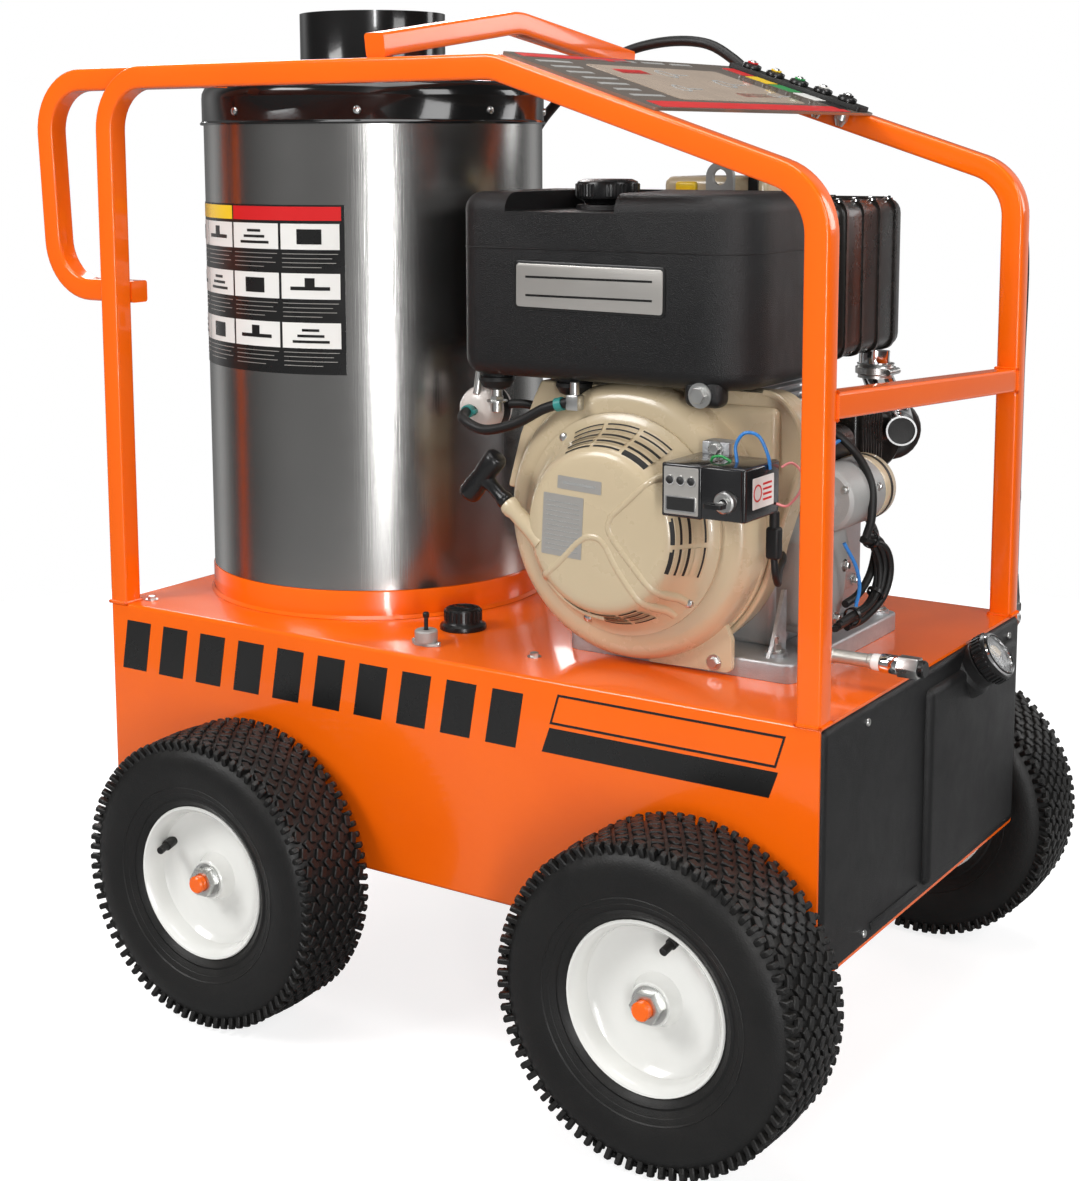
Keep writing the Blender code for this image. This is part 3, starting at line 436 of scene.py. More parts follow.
def ring(build, shape, count, radius, origin=(0, 0, 0), axis=UP, start=0.0, step=None, height=0.0,
        wobble=0.0):
    inputs = {"Count": count, "Radius": radius, "Start Angle": start, "Step Angle": step or 2 * pi / count,
        "Height": height, "Wobble": wobble}
    return repeat(build, RING_TREE, shape, inputs, facing(origin, axis))


def row(build, shape, count, start, step, matrix=None):
    return repeat(build, ROW_TREE, shape, {"Count": count, "Start": tuple(start), "Step": tuple(step)},
        matrix)


# ---- Shader groups and finishes --------------------------------------------------------------
def new_shader_group(name, inputs, outputs):
    tree = bpy.data.node_groups.new(name, "ShaderNodeTree")
    for label, kind, value in inputs:
        tree.interface.new_socket(label, in_out="INPUT", socket_type=kind).default_value = value
    for label, kind in outputs:
        tree.interface.new_socket(label, in_out="OUTPUT", socket_type=kind)
    return tree, tree.nodes.new("NodeGroupInput").outputs, tree.nodes.new("NodeGroupOutput").inputs


def spread(tree, value, low, high, to_low, to_high):
    return node(tree, "ShaderNodeMapRange", {"Value": value, "From Min": low, "From Max": high,
        "To Min": to_low, "To Max": to_high}).outputs[0]


def cloud(tree, scale, detail, roughness=0.5, coords=None):
    """Noise on the piece's own coordinates, or on the given ones."""
    coords = coords or node(tree, "ShaderNodeTexCoord").outputs["Object"]
    return node(tree, "ShaderNodeTexNoise", {"Vector": coords, "Scale": scale, "Detail": detail,
        "Roughness": roughness}).outputs[0]


def mixed(tree, factor, first, second):
    made = node(tree, "ShaderNodeMix", {0: factor, 6: first, 7: second}, data_type="RGBA")
    return made.outputs[2]


def make_tone_group():
    """Slow cloudy change between two colours, as in cast, moulded or sprayed surfaces."""
    tree, given, out = new_shader_group("cloudy_tone",
        [("Colour", "NodeSocketColor", (1, 1, 1, 1)), ("Second", "NodeSocketColor", (0, 0, 0, 1)),
        ("Scale", "NodeSocketFloat", 6.0), ("Amount", "NodeSocketFloat", 0.5)],
        [("Colour", "NodeSocketColor")])
    mask = spread(tree, cloud(tree, given["Scale"], 5.0), 0.35, 0.7, 0.0, 1.0)
    mask = maths(tree, "MULTIPLY", mask, given["Amount"])
    tree.links.new(mixed(tree, mask, given["Colour"], given["Second"]), out["Colour"])
    return tree


def make_gloss_group():
    """Patches of more and less polish."""
    tree, given, out = new_shader_group("patchy_gloss",
        [("Low", "NodeSocketFloat", 0.3), ("High", "NodeSocketFloat", 0.4),
        ("Scale", "NodeSocketFloat", 20.0)], [("Roughness", "NodeSocketFloat")])
    value = spread(tree, cloud(tree, given["Scale"], 6.0, 0.6), 0.3, 0.7, given["Low"], given["High"])
    tree.links.new(value, out["Roughness"])
    return tree


def make_grain_group():
    """Fine surface grain, pulled out along an axis by Stretch."""
    tree, given, out = new_shader_group("surface_grain",
        [("Scale", "NodeSocketFloat", 400.0), ("Stretch", "NodeSocketVector", (1, 1, 1)),
        ("Softness", "NodeSocketFloat", 0.0)], [("Height", "NodeSocketFloat")])
    coords = node(tree, "ShaderNodeTexCoord").outputs["Object"]
    pulled = node(tree, "ShaderNodeVectorMath", {0: coords, 1: given["Stretch"]},
        operation="MULTIPLY").outputs[0]
    fine = cloud(tree, given["Scale"], 3.0, coords=pulled)
    wave = maths(tree, "MULTIPLY", cloud(tree, 60.0, 2.0, coords=coords), given["Softness"])
    tree.links.new(maths(tree, "ADD", fine, wave), out["Height"])
    return tree


def make_dust_group():
    """A thin film of dust that settles on faces that look up."""
    tree, given, out = new_shader_group("settled_dust",
        [("Colour", "NodeSocketColor", (1, 1, 1, 1)), ("Amount", "NodeSocketFloat", 0.1)],
        [("Colour", "NodeSocketColor"), ("Mask", "NodeSocketFloat")])
    normal = node(tree, "ShaderNodeNewGeometry").outputs["Normal"]
    upward = node(tree, "ShaderNodeSeparateXYZ", {0: normal}).outputs[2]
    patch = spread(tree, cloud(tree, 35.0, 8.0, 0.7), 0.4, 0.75, 0.15, 1.0)
    mask = maths(tree, "MULTIPLY", maths(tree, "MAXIMUM", upward, 0.08), patch)
    mask = maths(tree, "MULTIPLY", mask, given["Amount"], clamp=True)
    tree.links.new(mixed(tree, mask, given["Colour"], (0.42, 0.38, 0.33, 1)), out["Colour"])
    tree.links.new(mask, out["Mask"])
    return tree


def make_wear_group():
    """Paler, rubbed edges where a corner stands proud."""
    tree, given, out = new_shader_group("rubbed_edges",
        [("Colour", "NodeSocketColor", (1, 1, 1, 1)), ("Bare", "NodeSocketColor", (0.4, 0.4, 0.4, 1)),
        ("Amount", "NodeSocketFloat", 0.3)], [("Colour", "NodeSocketColor"), ("Mask", "NodeSocketFloat")])
    sharpness = node(tree, "ShaderNodeNewGeometry").outputs["Pointiness"]
    edge = spread(tree, sharpness, 0.52, 0.62, 0.0, 1.0)
    patch = spread(tree, cloud(tree, 90.0, 6.0, 0.7), 0.45, 0.65, 0.0, 1.0)
    mask = maths(tree, "MULTIPLY", maths(tree, "MULTIPLY", edge, patch), given["Amount"], clamp=True)
    tree.links.new(mixed(tree, mask, given["Colour"], given["Bare"]), out["Colour"])
    tree.links.new(mask, out["Mask"])
    return tree


TONE = make_tone_group()
GLOSS = make_gloss_group()
GRAIN = make_grain_group()
DUST = make_dust_group()
WEAR = make_wear_group()


def group(tree, which, inputs=()):
    made = tree.nodes.new("ShaderNodeGroup")
    made.node_tree = which
    for key, value in dict(inputs).items():
        if isinstance(value, bpy.types.NodeSocket):
            tree.links.new(value, made.inputs[key])
        else:
            made.inputs[key].default_value = value
    return made


def rgb(colour):
    return (*colour, 1.0)


def make_finish(name, colour, second=None, amount=0.4, tone=7.0, metallic=0.0, gloss=(0.3, 0.4),
        patches=25.0, grain=350.0, stretch=(1, 1, 1), depth=0.15, relief=0.0004, softness=0.0, coat=0.0,
        dust=0.08, wear=0.0, bare=(0.45, 0.44, 0.42), specular=0.5, alpha=1.0):
    """A material: tone, rubbed edges and dust over a base colour, patchy gloss, and grain as a bump."""
    material = bpy.data.materials.new(name)
    material.use_nodes = True
    tree = material.node_tree
    shader = tree.nodes["Principled BSDF"]
    second = second or tuple(0.72 * part for part in colour)
    base = group(tree, TONE, {"Colour": rgb(colour), "Second": rgb(second), "Scale": tone,
        "Amount": amount}).outputs[0]
    if wear:
        base = group(tree, WEAR, {"Colour": base, "Bare": rgb(bare), "Amount": wear}).outputs["Colour"]
    dusty = group(tree, DUST, {"Colour": base, "Amount": dust})
    tree.links.new(dusty.outputs["Colour"], shader.inputs["Base Color"])
    rough = group(tree, GLOSS, {"Low": gloss[0], "High": gloss[1], "Scale": patches}).outputs[0]
    rough = maths(tree, "MULTIPLY_ADD", dusty.outputs["Mask"], 0.5, rough)
    tree.links.new(rough, shader.inputs["Roughness"])
    height = group(tree, GRAIN, {"Scale": grain, "Stretch": stretch, "Softness": softness}).outputs[0]
    bump = node(tree, "ShaderNodeBump", {"Strength": depth, "Distance": relief,
        "Height": height}).outputs[0]
    tree.links.new(bump, shader.inputs["Normal"])
    shader.inputs["Metallic"].default_value = metallic
    shader.inputs["Coat Weight"].default_value = coat
    shader.inputs["Coat Roughness"].default_value = 0.05
    shader.inputs["Specular IOR Level"].default_value = specular
    shader.inputs["Alpha"].default_value = alpha
    return material


ORANGE = make_finish("orange_gloss_paint", (0.95, 0.14, 0.003), (0.88, 0.112, 0.002),
    gloss=(0.16, 0.24), patches=9, grain=240, depth=0.1, relief=0.0003, softness=1.5, coat=0.45, dust=0.02,
    specular=0.3)
STEEL = make_finish("brushed_stainless", (0.36, 0.355, 0.345), (0.29, 0.285, 0.28),
    metallic=1.0, gloss=(0.17, 0.24), patches=5, grain=900, stretch=(1, 1, 0.012), depth=0.16,
    relief=0.0005, dust=0.01)
LID_BLACK = make_finish("black_gloss_enamel", (0.006, 0.006, 0.006), (0.012, 0.012, 0.012),
    gloss=(0.1, 0.2), patches=12, grain=200, depth=0.12, softness=1.5, coat=0.35, dust=0.01, specular=0.3)
TEXTURED_BLACK = make_finish("black_grained_plastic", (0.005, 0.005, 0.0055),
    (0.009, 0.009, 0.009), gloss=(0.3, 0.42), grain=1100, depth=0.75, relief=0.0008, softness=0.4,
    dust=0.02, wear=0.1, bare=(0.06, 0.06, 0.06), specular=0.35)
SMOOTH_BLACK = make_finish("black_moulded_plastic", (0.006, 0.006, 0.0065),
    (0.01, 0.01, 0.01), gloss=(0.22, 0.34), grain=700, depth=0.2, dust=0.03, wear=0.08,
    bare=(0.08, 0.08, 0.08), specular=0.4)
BOX_BLACK = make_finish("black_box_paint", (0.008, 0.008, 0.009), (0.015, 0.015, 0.015),
    gloss=(0.15, 0.28), grain=500, depth=0.15, coat=0.3, dust=0.05)
MUFFLER_BLACK = make_finish("heat_proof_black", (0.006, 0.0055, 0.005),
    (0.014, 0.011, 0.009), gloss=(0.22, 0.38), grain=500, depth=0.35, dust=0.03, coat=0.15, wear=0.25,
    bare=(0.1, 0.08, 0.07), specular=0.35)
RUBBER = make_finish("black_rubber", (0.006, 0.006, 0.006), (0.011, 0.011, 0.011),
    gloss=(0.4, 0.55), grain=800, depth=0.4, dust=0.05, specular=0.35)
TYRE = make_finish("tyre_rubber", (0.006, 0.006, 0.006), (0.012, 0.0115, 0.011),
    gloss=(0.36, 0.54), tone=14, grain=600, depth=0.5, relief=0.0006, softness=0.6, dust=0.06, specular=0.3)
WHITE = make_finish("white_gloss_paint", (0.8, 0.8, 0.77), (0.74, 0.73, 0.69),
    gloss=(0.14, 0.24), patches=9, grain=240, depth=0.1, softness=1.5, coat=0.5, dust=0.04)
TAN = make_finish("tan_engine_paint", (0.54, 0.44, 0.29), (0.49, 0.39, 0.25),
    gloss=(0.22, 0.34), patches=14, grain=350, depth=0.14, softness=0.9, coat=0.35, dust=0.04)
ALLOY = make_finish("cast_alloy", (0.52, 0.53, 0.54), (0.4, 0.41, 0.42), metallic=0.85,
    gloss=(0.36, 0.55), tone=22, grain=700, depth=0.6, relief=0.0007, softness=0.5, dust=0.1, wear=0.4,
    bare=(0.75, 0.76, 0.77))
GREY_CAST = make_finish("painted_casting", (0.36, 0.36, 0.35), (0.29, 0.29, 0.28),
    metallic=0.25, gloss=(0.38, 0.52), grain=900, depth=0.6, relief=0.0006, dust=0.08)
ZINC = make_finish("zinc_plate", (0.62, 0.62, 0.6), (0.48, 0.49, 0.5), metallic=1.0,
    gloss=(0.22, 0.38), tone=60, grain=500, depth=0.2, dust=0.04)
CHROME = make_finish("bright_chrome", (0.78, 0.78, 0.78), (0.66, 0.66, 0.67), metallic=1.0,
    gloss=(0.05, 0.14), grain=300, depth=0.06, dust=0.02)
GALVANISED = make_finish("galvanised_pipe", (0.5, 0.49, 0.45), (0.36, 0.35, 0.32),
    metallic=0.9, gloss=(0.35, 0.55), tone=70, grain=600, depth=0.5, dust=0.08)
LABEL = make_finish("silver_label", (0.5, 0.48, 0.45), (0.43, 0.42, 0.4), metallic=0.6,
    gloss=(0.3, 0.38), grain=900, stretch=(0.03, 1, 1), depth=0.15, dust=0.02)
PAPER = make_finish("white_print", (0.78, 0.77, 0.74), (0.72, 0.71, 0.68),
    gloss=(0.28, 0.36), grain=500, depth=0.08, dust=0.03)
INK = make_finish("black_print", (0.006, 0.006, 0.006), (0.01, 0.01, 0.01),
    gloss=(0.24, 0.34), grain=500, depth=0.08, dust=0.02)
YELLOW = make_finish("yellow_print", (0.86, 0.58, 0.02), (0.78, 0.5, 0.02),
    gloss=(0.26, 0.34), grain=500, depth=0.08)
RED = make_finish("red_print", (0.62, 0.012, 0.014), (0.54, 0.01, 0.012), gloss=(0.26, 0.34),
    grain=500, depth=0.08)
GREEN = make_finish("green_print", (0.03, 0.3, 0.08), (0.02, 0.22, 0.06),
    gloss=(0.26, 0.36), grain=500, depth=0.08)
TEAL = make_finish("teal_clip", (0.03, 0.24, 0.22), (0.02, 0.18, 0.17), gloss=(0.3, 0.45),
    grain=500, depth=0.1)
BLUE = make_finish("blue_wire", (0.03, 0.2, 0.55), (0.02, 0.15, 0.45), gloss=(0.25, 0.35),
    grain=600, depth=0.1)
PINK = make_finish("pink_wire", (0.75, 0.25, 0.25), (0.65, 0.18, 0.18), gloss=(0.25, 0.35),
    grain=600, depth=0.1)
BROWN_PRINT = make_finish("brown_grey_print", (0.17, 0.13, 0.1), (0.12, 0.09, 0.07), tone=24,
    gloss=(0.12, 0.2), grain=500, depth=0.08, coat=0.5, dust=0.03)
CREAM_PRINT = make_finish("cream_print", (0.6, 0.47, 0.36), (0.52, 0.4, 0.31), tone=30,
    gloss=(0.12, 0.2), grain=500, depth=0.08, coat=0.5, dust=0.03)
DIAL = make_finish("tan_dial", (0.42, 0.33, 0.22), (0.36, 0.28, 0.18), gloss=(0.3, 0.4),
    grain=500, depth=0.08)
MILKY = make_finish("milky_plastic", (0.66, 0.6, 0.56), (0.52, 0.44, 0.4), tone=40,
    gloss=(0.2, 0.32), grain=500, depth=0.1, coat=0.3, dust=0.03)
LENS = make_finish("clear_lens", (0.92, 0.94, 0.94), (0.9, 0.92, 0.92), gloss=(0.02, 0.05),
    grain=200, depth=0.02, dust=0.0, alpha=0.13)
# Near-black for the switch box's lamps and window, and for the painted shade in the cover's vent openings.
DARK = make_finish("dark_inside", (0.006, 0.006, 0.006), (0.01, 0.01, 0.01),
    gloss=(0.5, 0.7), grain=500, depth=0.2)
IRON = make_finish("machined_iron", (0.14, 0.14, 0.14), (0.09, 0.09, 0.09), metallic=0.9,
    gloss=(0.35, 0.5), grain=500, depth=0.3)


# ---- Chassis ---------------------------------------------------------------------------------
def make_chassis():
    """The folded sheet: deck, sides and left end in one, open underneath the tank end."""
    own = slab(bmesh.new(), (-HALF_LENGTH, -HALF_WIDTH, PAN_BOTTOM), (HALF_LENGTH, HALF_WIDTH, DECK))
    open_end = [face for face in own.faces if face.normal.x > 0.9]
    bmesh.ops.delete(own, geom=open_end, context="FACES_ONLY")
    folds = [edge for edge in own.edges if not edge.is_boundary]
    soften(own, folds, 0.0045, 4)
    bmesh.ops.recalc_face_normals(own, faces=list(own.faces))
    if own.faces[0].normal.dot(own.faces[0].calc_center_median() - Vector((0, 0, 0.3))) < 0:
        bmesh.ops.reverse_faces(own, faces=list(own.faces))
    bmesh.ops.solidify(own, geom=list(own.faces), thickness=0.003)
    piece("chassis_shell", own, ORANGE, replaces=("deck", "chassis_pan"))


def make_stripes():
    """Plain black blocks and bars on the front side, where the machine is marked."""
    face = facing((0, -HALF_WIDTH - 0.0001, 0), FRONT)
    marks = bmesh.new()

    def slanted(left, right, low, high, lean):
        return [(left, low), (right, low), (right + lean, high), (left + lean, high)]

    plate(marks, slanted(0.153, 0.41, 0.351, 0.3775, 0.0095), 0.0003, face)
    outer = slanted(0.1625, 0.417, 0.3815, 0.414, 0.01)
    inner = slanted(0.1655, 0.4155, 0.384, 0.4115, 0.0085)
    plate(marks, outer, 0.0003, face, holes=(inner,))
    block = plate(bmesh.new(), slanted(-0.019, 0.019, 0.0, 0.059, 0.01), 0.0003, None)
    row(marks, block, 10, (-0.425, 0.349, 0), (0.0585, 0, 0), face)
    piece("side_marking", marks, INK)


def make_frame():
    """Side frames, push handles, end bar and lifting bar, all of one square tube, with their welds."""
    section = square_section(TUBE, 0.0035)
    for side, sign in (("front", -1), ("back", 1)):
        y = sign * FRAME_Y
        low = DECK + GAP
        slope_z = RAIL_Z - SLOPE_DROP * (POST_X - SLOPE_START)
        path = bent([(-POST_X, y, low), (-POST_X, y, RAIL_Z), (SLOPE_START, y, RAIL_Z),
            (POST_X, y, slope_z), (POST_X, y, low)], 0.06)
        piece("frame_" + side, sweep(bmesh.new(), path, section, (0, 1, 0)), ORANGE,
            replaces=("side_frame_" + side,))
        handle_low, handle_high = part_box("push_handle_" + side)
        outside = handle_low.x - SHIFT + TUBE / 2
        y = (handle_low.y + handle_high.y) / 2
        path = bent([(handle_high.x - SHIFT, y, RAIL_Z), (outside, y, RAIL_Z), (outside + 0.012, y, 0.795),
            (-HALF_LENGTH + TUBE, y, 0.795)], 0.06)
        piece("handle_" + side, sweep(bmesh.new(), path, section, (0, 1, 0)), ORANGE,
            replaces=("push_handle_" + side,))
    bar_low, bar_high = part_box("cross_bar")
    path = [(POST_X, bar_low.y, 0.726), (POST_X, bar_high.y, 0.699)]
    piece("end_bar", sweep(bmesh.new(), path, section, (1, 0, 0)), ORANGE, replaces=("cross_bar",))
    foot = FRAME_TOP + GAP + TUBE / 2
    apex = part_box("lifting_bar")[1].z - TUBE / 2
    path = bent([(-0.06, -FRAME_Y, foot), (-0.06, 0, apex + 0.003), (-0.06, FRAME_Y, foot)], 0.11)
    piece("lift_bar", sweep(bmesh.new(), path, section, (1, 0, 0)), ORANGE, replaces=("lifting_bar",))
    beads = bmesh.new()
    half = TUBE / 2
    for x in (-POST_X, POST_X):
        for sign in (-1, 1):
            y = sign * FRAME_Y
            corners = [(x - half, y - half, DECK), (x + half, y - half, DECK), (x + half, y + half, DECK),
                (x - half, y + half, DECK), (x - half, y - half, DECK)]
            for start, end in zip(corners, corners[1:]):
                weld(beads, start, end)
    for sign in (-1, 1):
        y = sign * (FRAME_Y - half)
        z = 0.726 if sign < 0 else 0.699
        for start, end in (((-half, -half), (half, -half)), ((half, -half), (half, half)),
                ((half, half), (-half, half))):
            weld(beads, (POST_X + start[0], y, z + start[1]), (POST_X + end[0], y, z + end[1]))
    piece("weld_beads", beads, ORANGE)


def weld(build, start, end):
    """A run of small overlapping beads."""
    start = Vector(start)
    end = Vector(end)
    bead = bmesh.new()
    bmesh.ops.create_icosphere(bead, subdivisions=1, radius=0.0024)
    count = max(2, int((end - start).length / 0.0022))
    return row(build, bead, count, start, (end - start) / (count - 1))


# ---- Running gear ----------------------------------------------------------------------------
def make_wheels():
    """Four turf tyres on steel rims, each riding on its own wheel, and the two axles."""
    carcass = [(0.0813, 0.036), (0.089, 0.044), (0.0935, 0.0465), (0.096, 0.0455), (0.1, 0.0475),
        (0.11, 0.0515), (0.125, 0.0545), (0.139, 0.0535), (0.148, 0.0495), (0.1545, 0.043), (0.158, 0.033),
        (0.1595, 0.017), (0.1598, 0.0)]
    tyre_profile = carcass + [(radius, -across) for radius, across in carcass[-2::-1]]
    rim_side = [(0.0805, 0.0), (0.0805, 0.033), (0.0815, 0.037), (0.085, 0.04), (0.0858, 0.0425),
        (0.0848, 0.044), (0.0828, 0.0435), (0.08, 0.0405), (0.0778, 0.037), (0.0768, 0.031)]
    rim_profile = rim_side + [(0.0755, 0.0215), (0.07, 0.016), (0.06, 0.0125), (0.048, 0.011),
        (0.036, 0.012), (0.027, 0.0165), (0.0225, 0.0245), (0.0215, 0.03), (0.0205, 0.031), (0.0102, 0.031),
        (0.0102, -0.043), (0.0205, -0.043), (0.0215, -0.04), (0.0215, 0.008), (0.048, 0.008), (0.07, 0.013),
        (0.076, 0.018), (0.0768, 0.01), (0.0768, -0.031), (0.0778, -0.037), (0.08, -0.0405),
        (0.0828, -0.0435), (0.0848, -0.044), (0.0858, -0.0425), (0.085, -0.04), (0.0815, -0.037),
        (0.0805, -0.033)]
    for name, (x, sign) in WHEELS.items():
        body = "wheel_" + name
        centre = (x, sign * WHEEL_Y, TYRE_RADIUS)
        outward = (0, sign, 0)
        own = lathe(bmesh.new(), tyre_profile, centre, outward, 96, closed=True)
        tread(own, centre, outward)
        piece("turf_tyre_" + name, own, TYRE, body, ("tyre_" + name,), sharp=40)
        own = lathe(bmesh.new(), rim_profile, centre, outward, 72, closed=True)
        piece("steel_rim_" + name, own, WHITE, body, ("rim_" + name,), sharp=30)
        angle = {"front_left": 1.25, "rear_left": 2.75}.get(name, 0.9)
        frame_of = facing(centre, outward)
        foot = frame_of @ Vector((0.071 * cos(angle), 0.071 * sin(angle), 0.015))
        tip = frame_of @ Vector((0.064 * cos(angle), 0.064 * sin(angle), 0.043))
        own = pipe(bmesh.new(), foot, foot.lerp(tip, 0.55), 0.0058, 20)
        pipe(own, foot.lerp(tip, 0.45), tip, 0.0042, 16)
        piece("valve_" + name, own, RUBBER, body)
    for place, x in AXLES.items():
        paint = bmesh.new()
        bright = bmesh.new()
        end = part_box("axle_" + place)[1].y
        for sign in (-1, 1):
            face = WHEEL_Y + 0.0313
            washer = [(0.0105, 0), (0.019, 0), (0.019, 0.0018), (0.0105, 0.0018)]
            lathe(bright, washer, (x, sign * face, TYRE_RADIUS), (0, sign, 0), 36, closed=True)
            nut = plate(bmesh.new(), round_outline(disc(0.0165, 6), 0.0015, 2), 0.0095, None, 0.0012, 2,
                holes=(disc(0.0098, 24),))
            merge(bright, nut, facing((x, sign * (face + 0.0018), TYRE_RADIUS), (0, sign, 0)))
            pipe(paint, (x, sign * (face + 0.0005), TYRE_RADIUS), (x, sign * end, TYRE_RADIUS), 0.0095, 24,
                0.0014)
            inner = WHEEL_Y - 0.0433
            pipe(bright, (x, sign * (inner - 0.011), TYRE_RADIUS), (x, sign * inner, TYRE_RADIUS), 0.016,
                24, 0.001)
            y = sign * (HALF_WIDTH - 0.045)
            slab(bright, (x - 0.022, y - 0.012, TYRE_RADIUS - 0.018),
                (x + 0.022, y + 0.012, PAN_BOTTOM - GAP), 0.003)
        pipe(bright, (x, -WHEEL_Y - 0.031, TYRE_RADIUS), (x, WHEEL_Y + 0.031, TYRE_RADIUS), 0.0094, 24)
        piece("axle_and_nuts_" + place, bright, ZINC, replaces=("axle_" + place,))
        piece("axle_ends_" + place, paint, ORANGE)


def tread(build, centre, outward):
    """Turf tread: staggered rows of small slanted blocks, and a comb of lugs on each shoulder."""
    rows = 9
    around = 52
    for index in range(rows):
        across = (index - (rows - 1) / 2) * 0.0098
        lean = (1 if index % 2 else -1) * 0.45
        own = bmesh.new()
        width = 0.004
        height = 0.0062
        drop = 0.0006 * abs(index - (rows - 1) / 2) ** 1.5 * 0.45
        slab(own, (-0.004, -0.0062, -width), (height - 0.0045, 0.0062, width), 0.001, 1)
        own.transform(Matrix.Rotation(lean, 4, "X"))
        ring(build, own, around, 0.1595 - drop + 0.0022, centre, outward,
            pi / around * (index % 2) + 0.02 * index, None, across, 0.08)
    for sign in (-1, 1):
        own = slab(bmesh.new(), (-0.025, -0.003, -0.0032), (0.0022, 0.003, 0.0045), 0.0012, 1)
        own.transform(Matrix.Rotation(-sign * 0.42, 4, "Y"))
        ring(build, own, 84, 0.1592, centre, outward, 0.0, None, sign * 0.048, 0.03)
    for radius, height in ((0.1015, 0.0478), (0.108, 0.0508)):
        for sign in (-1, 1):
            bead = [(radius, sign * height), (radius + 0.0012, sign * (height + 0.001)),
                (radius + 0.0024, sign * height)]
            lathe(build, bead, centre, outward, 96, closed=True)


# ---- Fasteners and burner --------------------------------------------------------------------
def screw_head(radius=0.0045, height=0.0022):
    """A domed cross-recessed screw head, facing local +Z."""
    own = lathe(bmesh.new(), [(0, -0.001), (radius, -0.001), (radius, 0.0), (radius * 0.85, height * 0.6),
        (radius * 0.5, height * 0.93), (0, height)], steps=14)
    return own


def socket_head(radius=0.0055, height=0.005):
    """A hexagon head on its washer, facing local +Z."""
    own = lathe(bmesh.new(), [(0, -0.0005), (radius * 1.5, -0.0005), (radius * 1.5, 0.001), (0, 0.001)],
        steps=20)
    plate(own, disc(radius, 6), height, Matrix.Translation((0, 0, 0.0008)), 0.0006, 1)
    return own


def turned_outward(own):
    """Turns a shape that faces local +Z so that it faces local +X."""
    own.transform(Matrix.Rotation(pi / 2, 4, "Y"))
    return own


def make_burner():
    place = (BURNER_X, 0, 0)
    wall = SHELL_RADIUS - 0.0015
    own = lathe(bmesh.new(), [(SHELL_RADIUS, SHELL_TOP), (SHELL_RADIUS, RING_TOP + GAP),
        (wall, RING_TOP + GAP), (wall, SHELL_TOP)], place, steps=JACKET_STEPS, closed=True)
    piece("burner_jacket", own, STEEL, replaces=("burner_shell",))
    lap = lathe(bmesh.new(), [(SHELL_RADIUS + 0.0002, RING_TOP + 0.001),
        (SHELL_RADIUS + 0.0012, RING_TOP + 0.001), (SHELL_RADIUS + 0.0012, LID_BRIM - 0.001),
        (SHELL_RADIUS + 0.0002, LID_BRIM - 0.001)], place, steps=8, closed=True, start=radians(78),
        sweep=0.12)
    piece("jacket_seam", lap, STEEL)
    outer = SHELL_RADIUS + 0.0013
    inner = SHELL_RADIUS - 0.03
    profile = [(outer - 0.0025, RING_TOP), (outer - 0.0008, RING_TOP - 0.0006), (outer, RING_TOP - 0.0025),
        (outer, DECK + GAP), (inner, DECK + GAP), (inner, RING_TOP)]
    piece("base_ring", lathe(bmesh.new(), profile, place, steps=JACKET_STEPS, closed=True), ORANGE,
        replaces=("burner_base_ring",))
    bead = lathe(bmesh.new(), [(SHELL_RADIUS + 0.0016, DECK + 0.0004),
        (SHELL_RADIUS + 0.005, DECK + 0.0004), (SHELL_RADIUS + 0.0016, DECK + 0.004)], place,
        steps=JACKET_STEPS, closed=True)
    piece("ring_fillet", bead, ORANGE)
    skirt = SHELL_RADIUS + 0.0018
    brim = 0.2078
    hole = 0.083
    profile = [(skirt - 0.013, LID_TOP - 0.0005), (skirt - 0.0075, LID_TOP - 0.0022),
        (skirt - 0.0035, LID_TOP - 0.0062), (skirt - 0.0006, LID_TOP - 0.012), (skirt, LID_TOP - 0.018),
        (skirt, LID_BRIM + 0.0052), (skirt + 0.0008, LID_BRIM + 0.004), (brim - 0.0012, LID_BRIM + 0.0036),
        (brim, LID_BRIM + 0.0022), (brim - 0.0006, LID_BRIM + 0.0004), (brim - 0.0022, LID_BRIM),
        (SHELL_RADIUS + 0.0004, LID_BRIM + 0.001), (SHELL_RADIUS + 0.0004, SHELL_TOP + GAP),
        (skirt - 0.016, LID_TOP - 0.0125), (hole, LID_TOP - 0.003), (hole, LID_TOP),
        (hole + 0.06, LID_TOP + 0.0002)]
    piece("burner_cap", lathe(bmesh.new(), profile, place, steps=JACKET_STEPS, closed=True), LID_BLACK,
        replaces=("burner_lid",), sharp=42)
    bolts = bmesh.new()
    ring(bolts, turned_outward(screw_head(0.0048, 0.0026)), 8, skirt, place, UP, radians(-102), None,
        LID_BRIM + 0.015)
    piece("cap_screws", bolts, ZINC)
    radius = 0.087
    profile = [(radius, STACK_TOP), (radius, LID_TOP + 0.0075), (radius + 0.002, LID_TOP + 0.004),
        (radius + 0.01, LID_TOP + 0.0033), (radius + 0.01, LID_TOP + GAP), (radius - 0.002, LID_TOP + GAP),
        (radius - 0.002, STACK_TOP)]
    piece("stack", lathe(bmesh.new(), profile, place, steps=96, closed=True), LID_BLACK,
        replaces=("stack_collar",))
    make_safety_sheet()


def wrapped(build, start, end, low, high, lift, thick=0.0003):
    """A thin sheet on the jacket, between two angles in degrees and two heights."""
    radius = SHELL_RADIUS + lift
    lathe(build, [(radius, low), (radius + thick, low), (radius + thick, high), (radius, high)],
        (BURNER_X, 0, 0), steps=max(2, round(abs(end - start) / 2)), closed=True, start=radians(start),
        sweep=radians(end - start))
    return build


